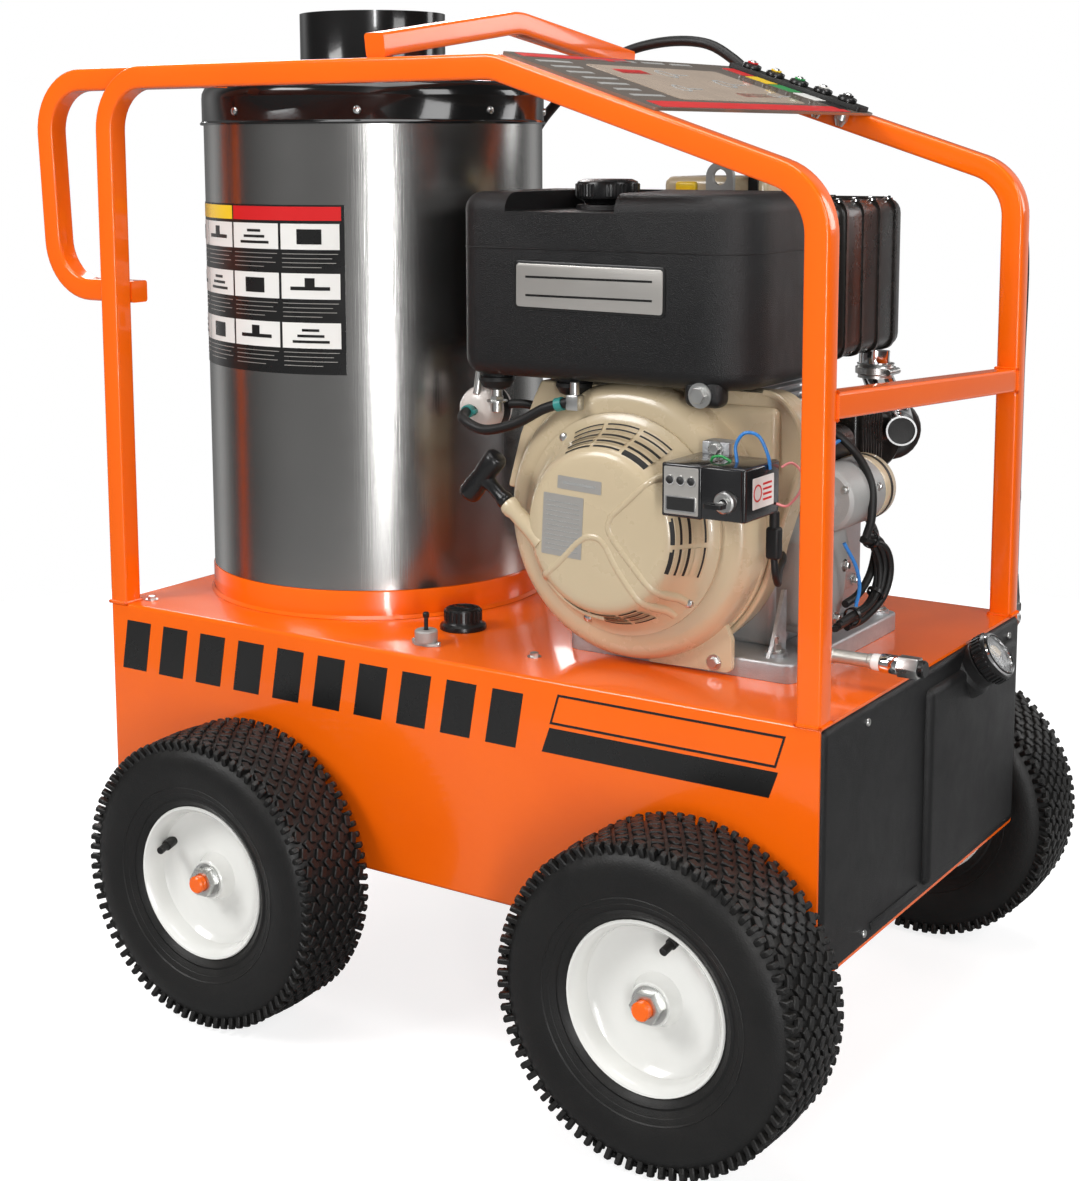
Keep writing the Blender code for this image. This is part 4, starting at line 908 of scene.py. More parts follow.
def make_safety_sheet():
    """The printed sheet on the jacket: coloured headings, a grid of blank cells and plain rules."""
    left, right = -148.0, -61.5
    top, bottom = 0.8985, 0.708
    piece("sheet_backing", wrapped(bmesh.new(), left, right, bottom, top, 0.0002), INK)
    half = (left + right) / 2
    piece("sheet_yellow_heading", wrapped(bmesh.new(), left + 1, half - 0.4, top - 0.0175, top - 0.002,
        0.0005), YELLOW)
    piece("sheet_red_heading", wrapped(bmesh.new(), half + 0.4, right - 1, top - 0.0175, top - 0.002,
        0.0005), RED)
    cells = bmesh.new()
    rules = bmesh.new()
    marks = bmesh.new()
    width = (right - left - 2) / 4
    band = (top - bottom - 0.024) / 3
    for line in range(3):
        high = top - 0.021 - line * band
        for column in range(4):
            start = left + 1.4 + column * width
            end = start + width - 1.0
            low = high - band * 0.52
            wrapped(cells, start, end, low, high, 0.0005)
            middle = (start + end) / 2
            size = width * 0.2
            kind = (line + column) % 3
            if kind == 0:
                wrapped(marks, middle - size, middle + size, low + 0.006, high - 0.006, 0.0008)
            elif kind == 1:
                wrapped(marks, middle - 1.6 * size, middle + 1.6 * size, low + 0.01, low + 0.014, 0.0008)
                wrapped(marks, middle - size * 0.4, middle + size * 0.4, low + 0.014, high - 0.005, 0.0008)
            else:
                for rung in range(3):
                    z = low + 0.006 + rung * 0.0065
                    wrapped(marks, middle - size * (1.5 - 0.4 * rung), middle + size * (1.5 - 0.4 * rung),
                        z, z + 0.003, 0.0008)
            for rule in range(4):
                z = low - 0.0045 - rule * 0.005
                wrapped(rules, start + 0.4, end - (0.6, 2.5, 1.2, 6.0)[rule], z - 0.0007, z, 0.0005)
    piece("sheet_cells", cells, PAPER)
    piece("sheet_rules", rules, LABEL)
    piece("sheet_marks", marks, INK)




# ---- Fuel tank below the deck ----------------------------------------------------------------
TANK_END = HALF_LENGTH + 0.004
FILLER_Y = 0.105
FILLER_Z = 0.396
FILLER_AXIS = Vector((cos(radians(35)), 0, sin(radians(35))))
FILLER_MOUTH = Vector((TANK_END, FILLER_Y, FILLER_Z)) + 0.02 * FILLER_AXIS


def make_fuel_tank():
    """The tank under the deck, whose end closes the chassis, and its cap with a fuel dial."""
    low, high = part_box("fuel_tank")
    side = high.y
    bottom = low.z
    top = DECK - 0.0033
    own = slab(bmesh.new(), (low.x - SHIFT, -side, bottom), (TANK_END, side, top), 0.007, 4)
    slab(own, (TANK_END - 0.03, -0.018, bottom + 0.012), (TANK_END + 0.0075, side - 0.022, top - 0.02),
        0.009, 4)
    slab(own, (TANK_END - 0.03, -0.15, bottom + 0.012), (TANK_END + 0.0012, -0.03, bottom + 0.02), 0.001, 2)
    pipe(own, Vector((TANK_END, FILLER_Y, FILLER_Z)) - 0.02 * FILLER_AXIS, FILLER_MOUTH, 0.0245, 48, 0.001)
    pipe(own, Vector((TANK_END, FILLER_Y, FILLER_Z)) - 0.02 * FILLER_AXIS,
        Vector((TANK_END, FILLER_Y, FILLER_Z)) + 0.008 * FILLER_AXIS, 0.0285, 48, 0.004)
    piece("lower_fuel_tank", own, TEXTURED_BLACK, replaces=("fuel_tank",))
    screws = bmesh.new()
    for y, z in ((-0.165, 0.408), (-0.164, 0.192), (0.228, 0.408), (0.228, 0.192)):
        merge(screws, screw_head(0.0042, 0.002), facing((TANK_END + GAP, y, z), RIGHT))
    piece("tank_end_screws", screws, ZINC)
    own = bmesh.new()
    base = FILLER_MOUTH + GAP * FILLER_AXIS
    profile = [(0, 0), (0.0245, 0), (0.027, 0.0035), (0.027, 0.015), (0.0262, 0.019), (0.0225, 0.0195),
        (0, 0.015)]
    lathe(own, profile, base, FILLER_AXIS, 64)
    rib = slab(bmesh.new(), (-0.002, -0.0013, -0.0062), (0.0016, 0.0013, 0.0062), 0.0007, 1)
    ring(own, rib, 32, 0.0268, base, FILLER_AXIS, 0, None, 0.009)
    piece("gauge_cap_body", own, SMOOTH_BLACK, "tank_cap", ("fuel_tank_cap",))
    bezel = [(0.0205, 0.017), (0.0242, 0.017), (0.025, 0.019), (0.0243, 0.0212), (0.0225, 0.022),
        (0.0212, 0.0212), (0.0205, 0.019)]
    piece("gauge_cap_bezel", lathe(bmesh.new(), bezel, base, FILLER_AXIS, 64, closed=True), CHROME,
        "tank_cap")
    piece("gauge_dial", plate(bmesh.new(), disc(0.0206, 48), 0.0006,
        facing(base + 0.0168 * FILLER_AXIS, FILLER_AXIS)), DIAL, "tank_cap")
    marks = bmesh.new()
    face = facing(base + 0.0175 * FILLER_AXIS, FILLER_AXIS)
    tick = plate(bmesh.new(), rectangle(0.0045, 0.0011), 0.0003)
    ring(marks, tick, 9, 0.0165, base, FILLER_AXIS, radians(20), radians(17.5), 0.0175)
    plate(marks, [(-0.0012, -0.006), (0.0012, -0.006), (0.0003, 0.0135), (-0.0003, 0.0135)], 0.0004,
        face @ Matrix.Rotation(radians(35), 4, "Z"))
    plate(marks, [(0.0203 * cos(a / 9), 0.0203 * sin(a / 9)) for a in range(-34, 2)] + [(0, -0.004)],
        0.0002, face)
    piece("gauge_marks", marks, INK, "tank_cap")
    lens = [(0.021, 0.0186), (0.021, 0.02), (0.015, 0.0212), (0.008, 0.0218), (0, 0.0219), (0, 0.0206),
        (0.008, 0.0205), (0.015, 0.0199)]
    piece("gauge_lens", lathe(bmesh.new(), lens, base, FILLER_AXIS, 48), LENS, "tank_cap")


# ---- Deck fittings ---------------------------------------------------------------------------
def make_deck_fittings():
    low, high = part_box("deck_cap")
    place = ((low.x + high.x) / 2 - SHIFT, (low.y + high.y) / 2, low.z)
    profile = [(0, 0), (0.0262, 0), (0.0265, 0.002), (0.0255, 0.005), (0.022, 0.007), (0.0205, 0.01),
        (0.02, 0.0205), (0.019, 0.0232), (0.0165, 0.0238), (0.014, 0.0222), (0, 0.0218)]
    own = lathe(bmesh.new(), profile, place, UP, 56)
    rib = slab(bmesh.new(), (-0.002, -0.0012, -0.006), (0.0012, 0.0012, 0.006), 0.0006, 1)
    ring(own, rib, 24, 0.0203, place, UP, 0, None, 0.0155)
    slab(own, (-0.0135, -0.0022, 0.0216), (0.0135, 0.0022, 0.0238), 0.0008, 2, Matrix.Translation(place))
    piece("ribbed_deck_cap", own, SMOOTH_BLACK, "filler_cap", ("deck_cap",))
    low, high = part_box("level_gauge")
    x = (low.x + high.x) / 2 - SHIFT
    y = (low.y + high.y) / 2
    z = low.z
    outline = round_outline([(-0.021, 0), (-0.009, -0.009), (0.009, -0.009), (0.021, 0), (0.009, 0.009),
        (-0.009, 0.009)], 0.005, 5)
    own = plate(bmesh.new(), outline, 0.0032, Matrix.Translation((x, y, z)), 0.0006, 2)
    sleeve = [(0.0034, 0.0032), (0.0122, 0.0032), (0.0125, 0.005), (0.0125, 0.015), (0.0115, 0.0164),
        (0.0034, 0.0164)]
    lathe(own, sleeve, (x, y, z), UP, 40, closed=True)
    piece("gauge_body", own, GREY_CAST, replaces=("level_gauge",))
    own = bmesh.new()
    for shift in (-0.016, 0.016):
        merge(own, screw_head(0.003, 0.0018), Matrix.Translation((x + shift, y, z + 0.0033)))
    piece("gauge_screws", own, ZINC)
    own = pipe(bmesh.new(), (x, y, z + 0.0052), (x, y, z + 0.033), 0.0023, 20)
    lathe(own, [(0, 0.03), (0.003, 0.03), (0.0036, 0.032), (0.0036, 0.0345), (0.0026, 0.0358), (0, 0.0358)],
        (x, y, z), UP, 24)
    piece("gauge_pin", own, SMOOTH_BLACK, "gauge_stem", ("gauge_rod",))
    own = bmesh.new()
    for px, py in ((-0.425, -0.235), (-0.02, 0.235), (0.1, 0.235), (0.1, -0.2)):
        merge(own, socket_head(0.005, 0.004), Matrix.Translation((px, py, DECK)))
    piece("deck_bolts", own, ZINC)


# ---- Instruction panel -----------------------------------------------------------------------
def on_panel(along, y, height):
    top = Vector((SLOPE_START, y, RAIL_Z)) + TUBE / 2 * SLOPE_NORMAL
    return top + along * SLOPE + height * SLOPE_NORMAL


def panel_frame(along, y, height):
    """Local X runs down the slope, local Y across the machine, local Z off the panel."""
    matrix = Matrix((SLOPE, Vector((0, 1, 0)), SLOPE_NORMAL)).transposed().to_4x4()
    matrix.translation = on_panel(along, y, height)
    return matrix


NOZZLE_PITCH = 0.0325


def make_panel():
    length = 0.186
    middle = length / 2
    half = FRAME_Y
    holder_y = FRAME_Y - TUBE / 2 - 0.0093
    holes = [disc(0.0091, 20, ((index - 2) * NOZZLE_PITCH, holder_y)) for index in range(5)]
    outline = round_outline([(-middle, -half), (middle, -half), (middle, half), (-middle, half)], 0.006, 4)
    piece("printed_panel", plate(bmesh.new(), outline, 0.003, panel_frame(middle, 0, 0.0003), 0.0, 2,
        holes), BROWN_PRINT, replaces=("instruction_panel",))
    face = panel_frame(middle, 0, 0.0034)

    def strip(build, x, y, width, height):
        plate(build, [(x, y), (x + width, y), (x + width, y + height), (x, y + height)], 0.0002, face)

    cream = plate(bmesh.new(), round_outline([(-0.06, -0.15), (0.062, -0.15), (0.062, 0.135),
        (-0.06, 0.135)], 0.008, 4), 0.0002, face)
    piece("panel_diagram_ground", cream, CREAM_PRINT)
    red = bmesh.new()
    strip(red, 0.07, -0.235, 0.02, 0.43)
    strip(red, -0.09, -0.235, 0.012, 0.21)
    strip(red, -0.046, -0.118, 0.016, 0.06)
    strip(red, 0.03, 0.02, 0.014, 0.08)
    piece("panel_red_bands", red, RED)
    marks = bmesh.new()
    for index in range(7):
        strip(marks, -0.066 + index * 0.019, -0.232, 0.006, 0.062 - 0.008 * (index % 3))
    for index in range(4):
        strip(marks, -0.084, -0.12 + index * 0.062, 0.006, 0.046)
    face_up = panel_frame(middle, 0, 0.0037)
    for x, y, size in ((-0.035, -0.02, 0.014), (0.02, -0.08, 0.012), (-0.005, 0.06, 0.015),
            (0.035, 0.105, 0.008)):
        plate(marks, disc(size, 28, (x, y)), 0.0002, face_up, holes=(disc(size * 0.72, 28, (x, y)),))
        plate(marks, [(x, y + size), (x + 0.003, y + size), (x + 0.003, y + size + 0.03),
            (x, y + size + 0.03)], 0.0002, face_up)
    piece("panel_marks", marks, GREY_CAST)
    for index, (name, finish) in enumerate((("red", RED), ("yellow", YELLOW), ("green", GREEN),
            ("white", PAPER), ("black", INK))):
        along = (index - 2) * NOZZLE_PITCH
        own = plate(bmesh.new(), round_outline([(along - 0.015, holder_y - 0.046),
            (along + 0.015, holder_y - 0.046), (along + 0.015, holder_y - 0.016),
            (along - 0.015, holder_y - 0.016)], 0.002, 3), 0.0002, face)
        piece("spray_key_" + name, own, finish)
    own = bmesh.new()
    holder_holes = [disc(0.0091, 20, ((index - 2) * NOZZLE_PITCH, 0)) for index in range(5)]
    outline = round_outline(rectangle(length - 0.008, 0.03), 0.005, 5)
    plate(own, outline, 0.005, panel_frame(middle, holder_y, 0.0037), 0.0012, 3, holder_holes)
    piece("nozzle_rack", own, RUBBER, replaces=("nozzle_holder",))
    colours = (RED, YELLOW, GREEN, PAPER, SMOOTH_BLACK)
    for index in range(5):
        seat = on_panel(middle + (index - 2) * NOZZLE_PITCH, holder_y, 0.0086)
        body = "tip_%d" % (index + 1)
        core = [(0, 0.0098), (0.0028, 0.0098), (0.0036, 0.0092), (0.004, 0.006), (0.008, 0.0003),
            (0.0082, -0.022), (0.0066, -0.0245), (0.004, -0.0296), (0, -0.0298)]
        own = lathe(bmesh.new(), core, seat, SLOPE_NORMAL, 28)
        name = "nozzle_%d" % (index + 1)
        piece(name + "_core", own, ZINC, body)
        skirt = [(0.0042, 0.0066), (0.0062, 0.0066), (0.0108, 0.0052), (0.0114, 0.0042), (0.0114, 0.0012),
            (0.0105, 0.0004), (0.0084, 0.0004), (0.0084, 0.003)]
        own = lathe(bmesh.new(), skirt, seat, SLOPE_NORMAL, 32, closed=True)
        piece(name + "_collar", own, SMOOTH_BLACK, body, (name,))
        band = [(0.0044, 0.0067), (0.0064, 0.0067), (0.0064, 0.008), (0.0044, 0.008)]
        own = lathe(bmesh.new(), band, seat, SLOPE_NORMAL, 28, closed=True)
        piece(name + "_colour_ring", own, colours[index], body)


# ---- Engine ----------------------------------------------------------------------------------
def carved(build, cutter):
    """Takes the closed bmesh cutter out of the closed bmesh build."""
    objects = []
    for name, own in (("body", build), ("cutter", cutter)):
        bmesh.ops.recalc_face_normals(own, faces=list(own.faces))
        mesh = bpy.data.meshes.new(name)
        own.to_mesh(mesh)
        own.free()
        objects.append(bpy.data.objects.new(name, mesh))
        bpy.context.scene.collection.objects.link(objects[-1])
    modifier = objects[0].modifiers.new("cut", "BOOLEAN")
    modifier.operation = "DIFFERENCE"
    modifier.solver = "EXACT"
    modifier.object = objects[1]
    graph = bpy.context.evaluated_depsgraph_get()
    made = bpy.data.meshes.new_from_object(objects[0].evaluated_get(graph))
    for obj in objects:
        bpy.data.objects.remove(obj)
    result = bmesh.new()
    result.from_mesh(made)
    bpy.data.meshes.remove(made)
    return result


def drum(outline, low, high, radius, segments):
    """A block of a plan outline between two heights, with soft top and bottom edges."""
    own = bmesh.new()
    own.faces.new([own.verts.new((x, y, low)) for x, y in outline])
    made = bmesh.ops.extrude_face_region(own, geom=list(own.faces))
    for item in made["geom"]:
        if isinstance(item, bmesh.types.BMVert):
            item.co.z = high
    rims = [edge for edge in own.edges if abs(edge.verts[0].co.z - edge.verts[1].co.z) < 1e-6]
    soften(own, rims, radius, segments)
    return own


def make_engine_tank():
    """The moulded tank on the engine, with its plate, cap and rubber feet."""
    x0, y0, z0 = TANK_LOW
    x1, y1, z1 = TANK_HIGH
    outline = round_outline([(x0, y0), (x1, y0), (x1, y1), (x0, y1)], [0.034, 0.06, 0.026, 0.026], 10)
    own = drum(outline, z0, z1, 0.021, 7)
    cap_x, cap_y = ENGINE_CAP
    hollow = drum(round_outline([(cap_x - 0.066, y0 - 0.03), (cap_x + 0.072, y0 - 0.03),
        (cap_x + 0.05, cap_y + 0.05), (cap_x - 0.052, cap_y + 0.05)], [0.001, 0.001, 0.045, 0.045], 12),
        z1 - 0.0195, z1 + 0.03, 0.0075, 4)
    own = carved(own, hollow)
    neck = [(0, z1 - 0.03), (0.037, z1 - 0.03), (0.034, z1 - 0.019), (0.0325, z1 - 0.0145),
        (0, z1 - 0.0145)]
    lathe(own, neck, (cap_x, cap_y, 0), UP, 64)
    seam = [(px, py, z0 + 0.135) for px, py in outline]
    tube(own, [Vector(point) for point in seam] + [Vector(seam[0])], 0.0008, 6)
    slab(own, (0.276, y0 + 0.004, z0 - 0.0165), (0.318, y0 + 0.03, z0 + 0.012), 0.009, 4)
    for x in (0.03, 0.1285):
        lathe(own, [(0, z0 + 0.004), (0.018, z0 + 0.004), (0.016, z0 - 0.005), (0, z0 - 0.005)],
            (x, y0 + 0.04, 0), UP, 32)
    piece("engine_tank", own, TEXTURED_BLACK, replaces=("engine_fuel_tank",), sharp=40)
    own = plate(bmesh.new(), round_outline(rectangle(0.179, 0.05), 0.006, 5), 0.0016,
        facing((0.1703, y0 + 0.0005, 0.8205), FRONT) @ Matrix.Rotation(radians(-0.6), 4, "Z"), 0.0006, 2)
    piece("name_plate_border", own, INK)
    own = plate(bmesh.new(), round_outline(rectangle(0.1735, 0.0445), 0.004, 5), 0.0008,
        facing((0.1703, y0 - 0.0011, 0.8205), FRONT) @ Matrix.Rotation(radians(-0.6), 4, "Z"), 0.0003, 2)
    piece("name_plate", own, LABEL)
    own = bmesh.new()
    for z in (0.811, 0.83):
        plate(own, rectangle(0.15, 0.0022), 0.0003, facing((0.1703, y0 - 0.002, z), FRONT))
    piece("name_plate_lines", own, INK)
    seat = (cap_x, cap_y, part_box("engine_tank_cap")[0].z)
    own = bmesh.new()
    profile = [(0, 0), (0.024, 0), (0.026, 0.003), (0.0325, 0.006), (0.033, 0.008), (0.033, 0.02),
        (0.0315, 0.0235), (0.026, 0.0258), (0, 0.026)]
    lathe(own, profile, seat, UP, 72)
    rib = slab(bmesh.new(), (-0.003, -0.0016, -0.0068), (0.0012, 0.0016, 0.0068), 0.0007, 1)
    for start in range(6):
        copy = rib.copy()
        ring(own, copy, 6, 0.033, seat, UP, start * pi / 3, radians(6.6), 0.0145)
    rib.free()
    piece("knurled_tank_cap", own, SMOOTH_BLACK, "engine_cap", ("engine_tank_cap",))
    studs = bmesh.new()
    bells = bmesh.new()
    for x in (0.03, 0.1285):
        lathe(bells, [(0, 0), (0.019, 0), (0.0195, -0.004), (0.0155, -0.011), (0.009, -0.014), (0, -0.014)],
            (x, y0 + 0.04, z0 - 0.005), UP, 32)
        pipe(studs, (x, y0 + 0.04, z0 - 0.044), (x, y0 + 0.04, z0 - 0.018), 0.0058, 24)
        merge(studs, socket_head(0.0075, 0.005), Matrix.Translation((x, y0 + 0.04, z0 - 0.032)))
    piece("tank_rubbers", bells, RUBBER)
    merge(studs, socket_head(0.0085, 0.0065), facing((0.297, y0 + 0.0035, z0 - 0.0035), FRONT))
    piece("tank_studs", studs, ZINC)


def shell_front(radius):
    """The Y of the recoil cover's front face at a distance from the crank's axis."""
    steps = ((0.0, -0.2318), (0.07, -0.2318), (0.08, -0.2302), (0.087, -0.224), (0.092, -0.215),
        (0.099, -0.1982), (0.106, -0.1905), (0.116, -0.1853))
    for (r0, y0), (r1, y1) in zip(steps, steps[1:]):
        if radius <= r1:
            return y0 + (y1 - y0) * (radius - r0) / (r1 - r0)
    return steps[-1][1]


def on_cover(x, z, lift=0.0):
    return Vector((x, shell_front(sqrt((x - CRANK_X) ** 2 + (z - CRANK_Z) ** 2)) - lift, z))


def make_blower_housing():
    """The sheet-metal housing behind the recoil cover."""
    low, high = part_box("blower_housing")
    radius = 0.1495
    outline = []
    for step in range(45):
        angle = radians(135 + (352 - 135) * step / 44)
        outline.append((CRANK_X + radius * cos(angle), CRANK_Z + radius * sin(angle)))
    top = high.z
    right = high.x - SHIFT
    for step in range(13):
        angle = radians(90 * step / 12)
        outline.append((right - 0.045 + 0.045 * cos(angle),
            top - 0.06 + 0.045 * sin(angle) + 0.015 * sin(angle)))
    outline.append((CRANK_X - 0.085, top))
    face = facing((0, high.y, 0), FRONT)
    hole = disc(0.017, 32, (CRANK_X, CRANK_Z))
    own = plate(bmesh.new(), outline, high.y - low.y, face, 0.0, 3, (hole,))
    slab(own, (0.268, -0.1435, 0.64), (0.352, -0.13, 0.704), 0.011, 4)
    slab(own, (0.3, -0.14, 0.652), (0.34, -0.13, 0.69), 0.008, 4)
    plate(own, round_outline([(0.0395, 0.598), (0.056, 0.657), (0.0744, 0.7), (0.083, 0.717), (0.21, 0.717),
        (0.21, 0.6)][::-1], 0.004, 3), 0.06, facing((0, -0.1, 0), FRONT), 0.003, 3)
    plate(own, round_outline([(0.215, 0.429), (0.312, 0.431), (0.312, 0.466), (0.296, 0.5), (0.215, 0.49)],
        [0.002, 0.008, 0.008, 0.008, 0.002], 4), 0.0072, facing((0, -0.1508, 0), FRONT), 0.0015, 2)
    piece("housing_back", own, TAN, replaces=("blower_housing",))
    path = [Vector((x, low.y + 0.001, z)) for x, z in outline[:58]]
    rim = tube(bmesh.new(), path, 0.0035, 10)
    piece("housing_rolled_edge", rim, TAN)


def make_shroud():
    profile = [(0.102, 0.1795), (0.102, 0.1815), (0.105, 0.182), (0.126, 0.1815), (0.133, 0.18),
        (0.1385, 0.1765), (0.1425, 0.171), (0.1448, 0.164), (0.1455, 0.156), (0.1455, 0.1355),
        (0.143, 0.1355), (0.143, 0.156), (0.14, 0.169), (0.131, 0.1775)]
    own = lathe(bmesh.new(), profile, (CRANK_X, 0, CRANK_Z), FRONT, 128, closed=True)
    band = [(0.1455, 0.144), (0.1472, 0.143), (0.1472, 0.138), (0.1455, 0.137)]
    lathe(own, band, (CRANK_X, 0, CRANK_Z), FRONT, 128, closed=True)
    piece("shroud", own, TAN, replaces=("fan_shroud",), sharp=30)


def make_recoil_cover():
    """The pressed cover with its ridges, labels, rope guide and rope."""
    profile = [(0, 0.2318), (0.06, 0.2318), (0.07, 0.2317), (0.076, 0.2312), (0.081, 0.2296),
        (0.085, 0.2262), (0.088, 0.2215), (0.0905, 0.215), (0.095, 0.2045), (0.0985, 0.1975),
        (0.103, 0.1925), (0.108, 0.189), (0.112, 0.1866), (0.1158, 0.1856), (0.116, 0.1825),
        (0.104, 0.1824), (0.096, 0.196), (0.088, 0.214), (0.081, 0.226), (0.066, 0.2296), (0, 0.2296)]
    own = lathe(bmesh.new(), profile, (CRANK_X, 0, CRANK_Z), FRONT, 128)
    for route, size in ((((0.126, 0.52), (0.15, 0.54), (0.176, 0.566), (0.192, 0.572), (0.205, 0.566),
            (0.222, 0.54), (0.262, 0.492)), 0.0052), (((0.214, 0.596), (0.21, 0.584), (0.216, 0.572),
            (0.236, 0.55), (0.278, 0.506)), 0.0052), (((0.126, 0.52), (0.142, 0.504), (0.168, 0.49),
            (0.196, 0.486)), 0.0045), (((0.214, 0.596), (0.232, 0.612), (0.256, 0.634), (0.268, 0.64)),
            0.0045)):
        points = smooth([Vector((x, 0, z)) for x, z in route], 0.003)
        tube(own, [on_cover(point.x, point.z, 0.0014 - size) for point in points], size, 14)
    direction = Vector((cos(radians(140.3)), 0, sin(radians(140.3))))
    side = Vector((-direction.z, 0, direction.x))
    start = Vector((CRANK_X, -0.2215, CRANK_Z)) + 0.061 * side
    guide = [(0.0034, 0.0985), (0.006, 0.0998), (0.0095, 0.099), (0.0106, 0.096), (0.0106, 0.09),
        (0.009, 0.086), (0.0098, 0.056), (0.0115, 0.042), (0.0034, 0.04)]
    lathe(own, guide, start, direction, 36, closed=True)
    piece("starter_cover", own, TAN, replaces=("recoil_cover",), sharp=38)
    make_vents()
    own = bmesh.new()
    for angle in (128, -41, 20, -110):
        x = CRANK_X + 0.1085 * cos(radians(angle))
        z = CRANK_Z + 0.1085 * sin(radians(angle))
        merge(own, screw_head(0.0052, 0.0032), facing((x, -0.188, z), FRONT))
    merge(own, socket_head(0.0056, 0.004), facing((0.2925, -0.158, 0.44), FRONT))
    piece("cover_screws", own, ZINC)
    small = facing((0.1765, -0.2319, 0.624), FRONT) @ Matrix.Rotation(radians(-3), 4, "Z")
    own = plate(bmesh.new(), round_outline(rectangle(0.052, 0.0135), 0.001, 3), 0.0003, small)
    large = facing((0.156, -0.2319, 0.58), FRONT) @ Matrix.Rotation(radians(-3), 4, "Z")
    plate(own, round_outline(rectangle(0.048, 0.064), 0.001, 3), 0.0003, large)
    piece("cover_labels", own, LABEL)
    own = bmesh.new()
    line = plate(bmesh.new(), rectangle(0.04, 0.001), 0.0002)
    row(own, line, 11, (0, -0.026, 0.0004), (0, 0.005, 0), large)
    plate(own, rectangle(0.038, 0.003), 0.0002, small @ Matrix.Translation((0, 0, 0.0004)))
    piece("label_lines", own, GREY_CAST)
    points = [start + (0.08 + 0.002 * step) * direction for step in range(22)]
    rope = piece("starter_rope", tube(bmesh.new(), points, 0.0022, 12), PAPER, None)
    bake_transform(rope)
    make_grip(start, direction, side)


VENT_PITCH = 0.0045
VENT_WIDTH = 0.0013


def make_vents():
    """Curved vent openings in the cover's slope, with a raised lip, in the groups that the cover has. No
    opening is cut: each is a thin dark strip on the cover, painted shade for the dark inside of the vent.
    """
    slot_shade = bmesh.new()
    lips = bmesh.new()

    def slot(angle_from, angle_to, inner, outer):
        steps = 6
        for build, grow, lift in ((lips, 0.0009, 0.0002), (slot_shade, 0.0, 0.0006)):
            ringed = []
            for radius in (inner - grow, outer + grow):
                line = []
                for step in range(steps + 1):
                    angle = radians(angle_from + (angle_to - angle_from) * step / steps)
                    line.append(on_cover(CRANK_X + radius * cos(angle), CRANK_Z + radius * sin(angle),
                        lift))
                ringed.append(line)
            top = [[build.verts.new(point) for point in line] for line in ringed]
            under = [[build.verts.new(point + Vector((0, 0.0012, 0))) for point in line] for line in ringed]
            for step in range(steps):
                build.faces.new((top[0][step], top[0][step + 1], top[1][step + 1], top[1][step]))
                build.faces.new((under[1][step], under[1][step + 1], under[0][step + 1], under[0][step]))
                for line in (0, 1):
                    build.faces.new((top[line][step], under[line][step], under[line][step + 1],
                        top[line][step + 1]))
            for step in (0, steps):
                build.faces.new((top[0][step], top[1][step], under[1][step], under[0][step]))

    for first, last, inner, count in ((99, 119, 0.0865, 5), (76, 96, 0.0865, 5), (53, 73, 0.0865, 5),
            (-3, 15, 0.085, 5), (-24, -6, 0.085, 5), (-120, -101, 0.087, 4), (-98, -79, 0.087, 4),
            (-76, -62, 0.087, 4)):
        for index in range(count):
            low = round(inner + VENT_PITCH * index, 4)
            slot(first, last, low, low + VENT_WIDTH)
    # Three wider dark strips, more of the same painted shade inside the vents.
    slot(53, 73, 0.085, 0.089)
    slot(-3, 13, 0.083, 0.0862)
    slot(-24, -8, 0.083, 0.0862)
    piece("vent_lips", lips, TAN)
    piece("vent_slot_painted_shade", slot_shade, DARK)


def make_grip(start, direction, side):
    middle = start + (0.1 + GAP + 0.027 + 0.0128) * direction
    own = bmesh.new()
    bar = [(0, -0.0308), (0.007, -0.0306), (0.0108, -0.029), (0.0124, -0.025), (0.012, -0.012),
        (0.0112, 0.0), (0.012, 0.012), (0.0124, 0.025), (0.0108, 0.029), (0.007, 0.0306), (0, 0.0308)]
    lathe(own, bar, middle, side, 40)
    stem = [(0, 0.1004), (0.0075, 0.1004), (0.0092, 0.102), (0.0092, 0.106), (0.0074, 0.111),
        (0.0072, 0.124), (0.0095, 0.134), (0, 0.14)]
    lathe(own, stem, start, direction, 36)
    piece("pull_grip", own, SMOOTH_BLACK, "grip", ("starter_grip",), sharp=50)


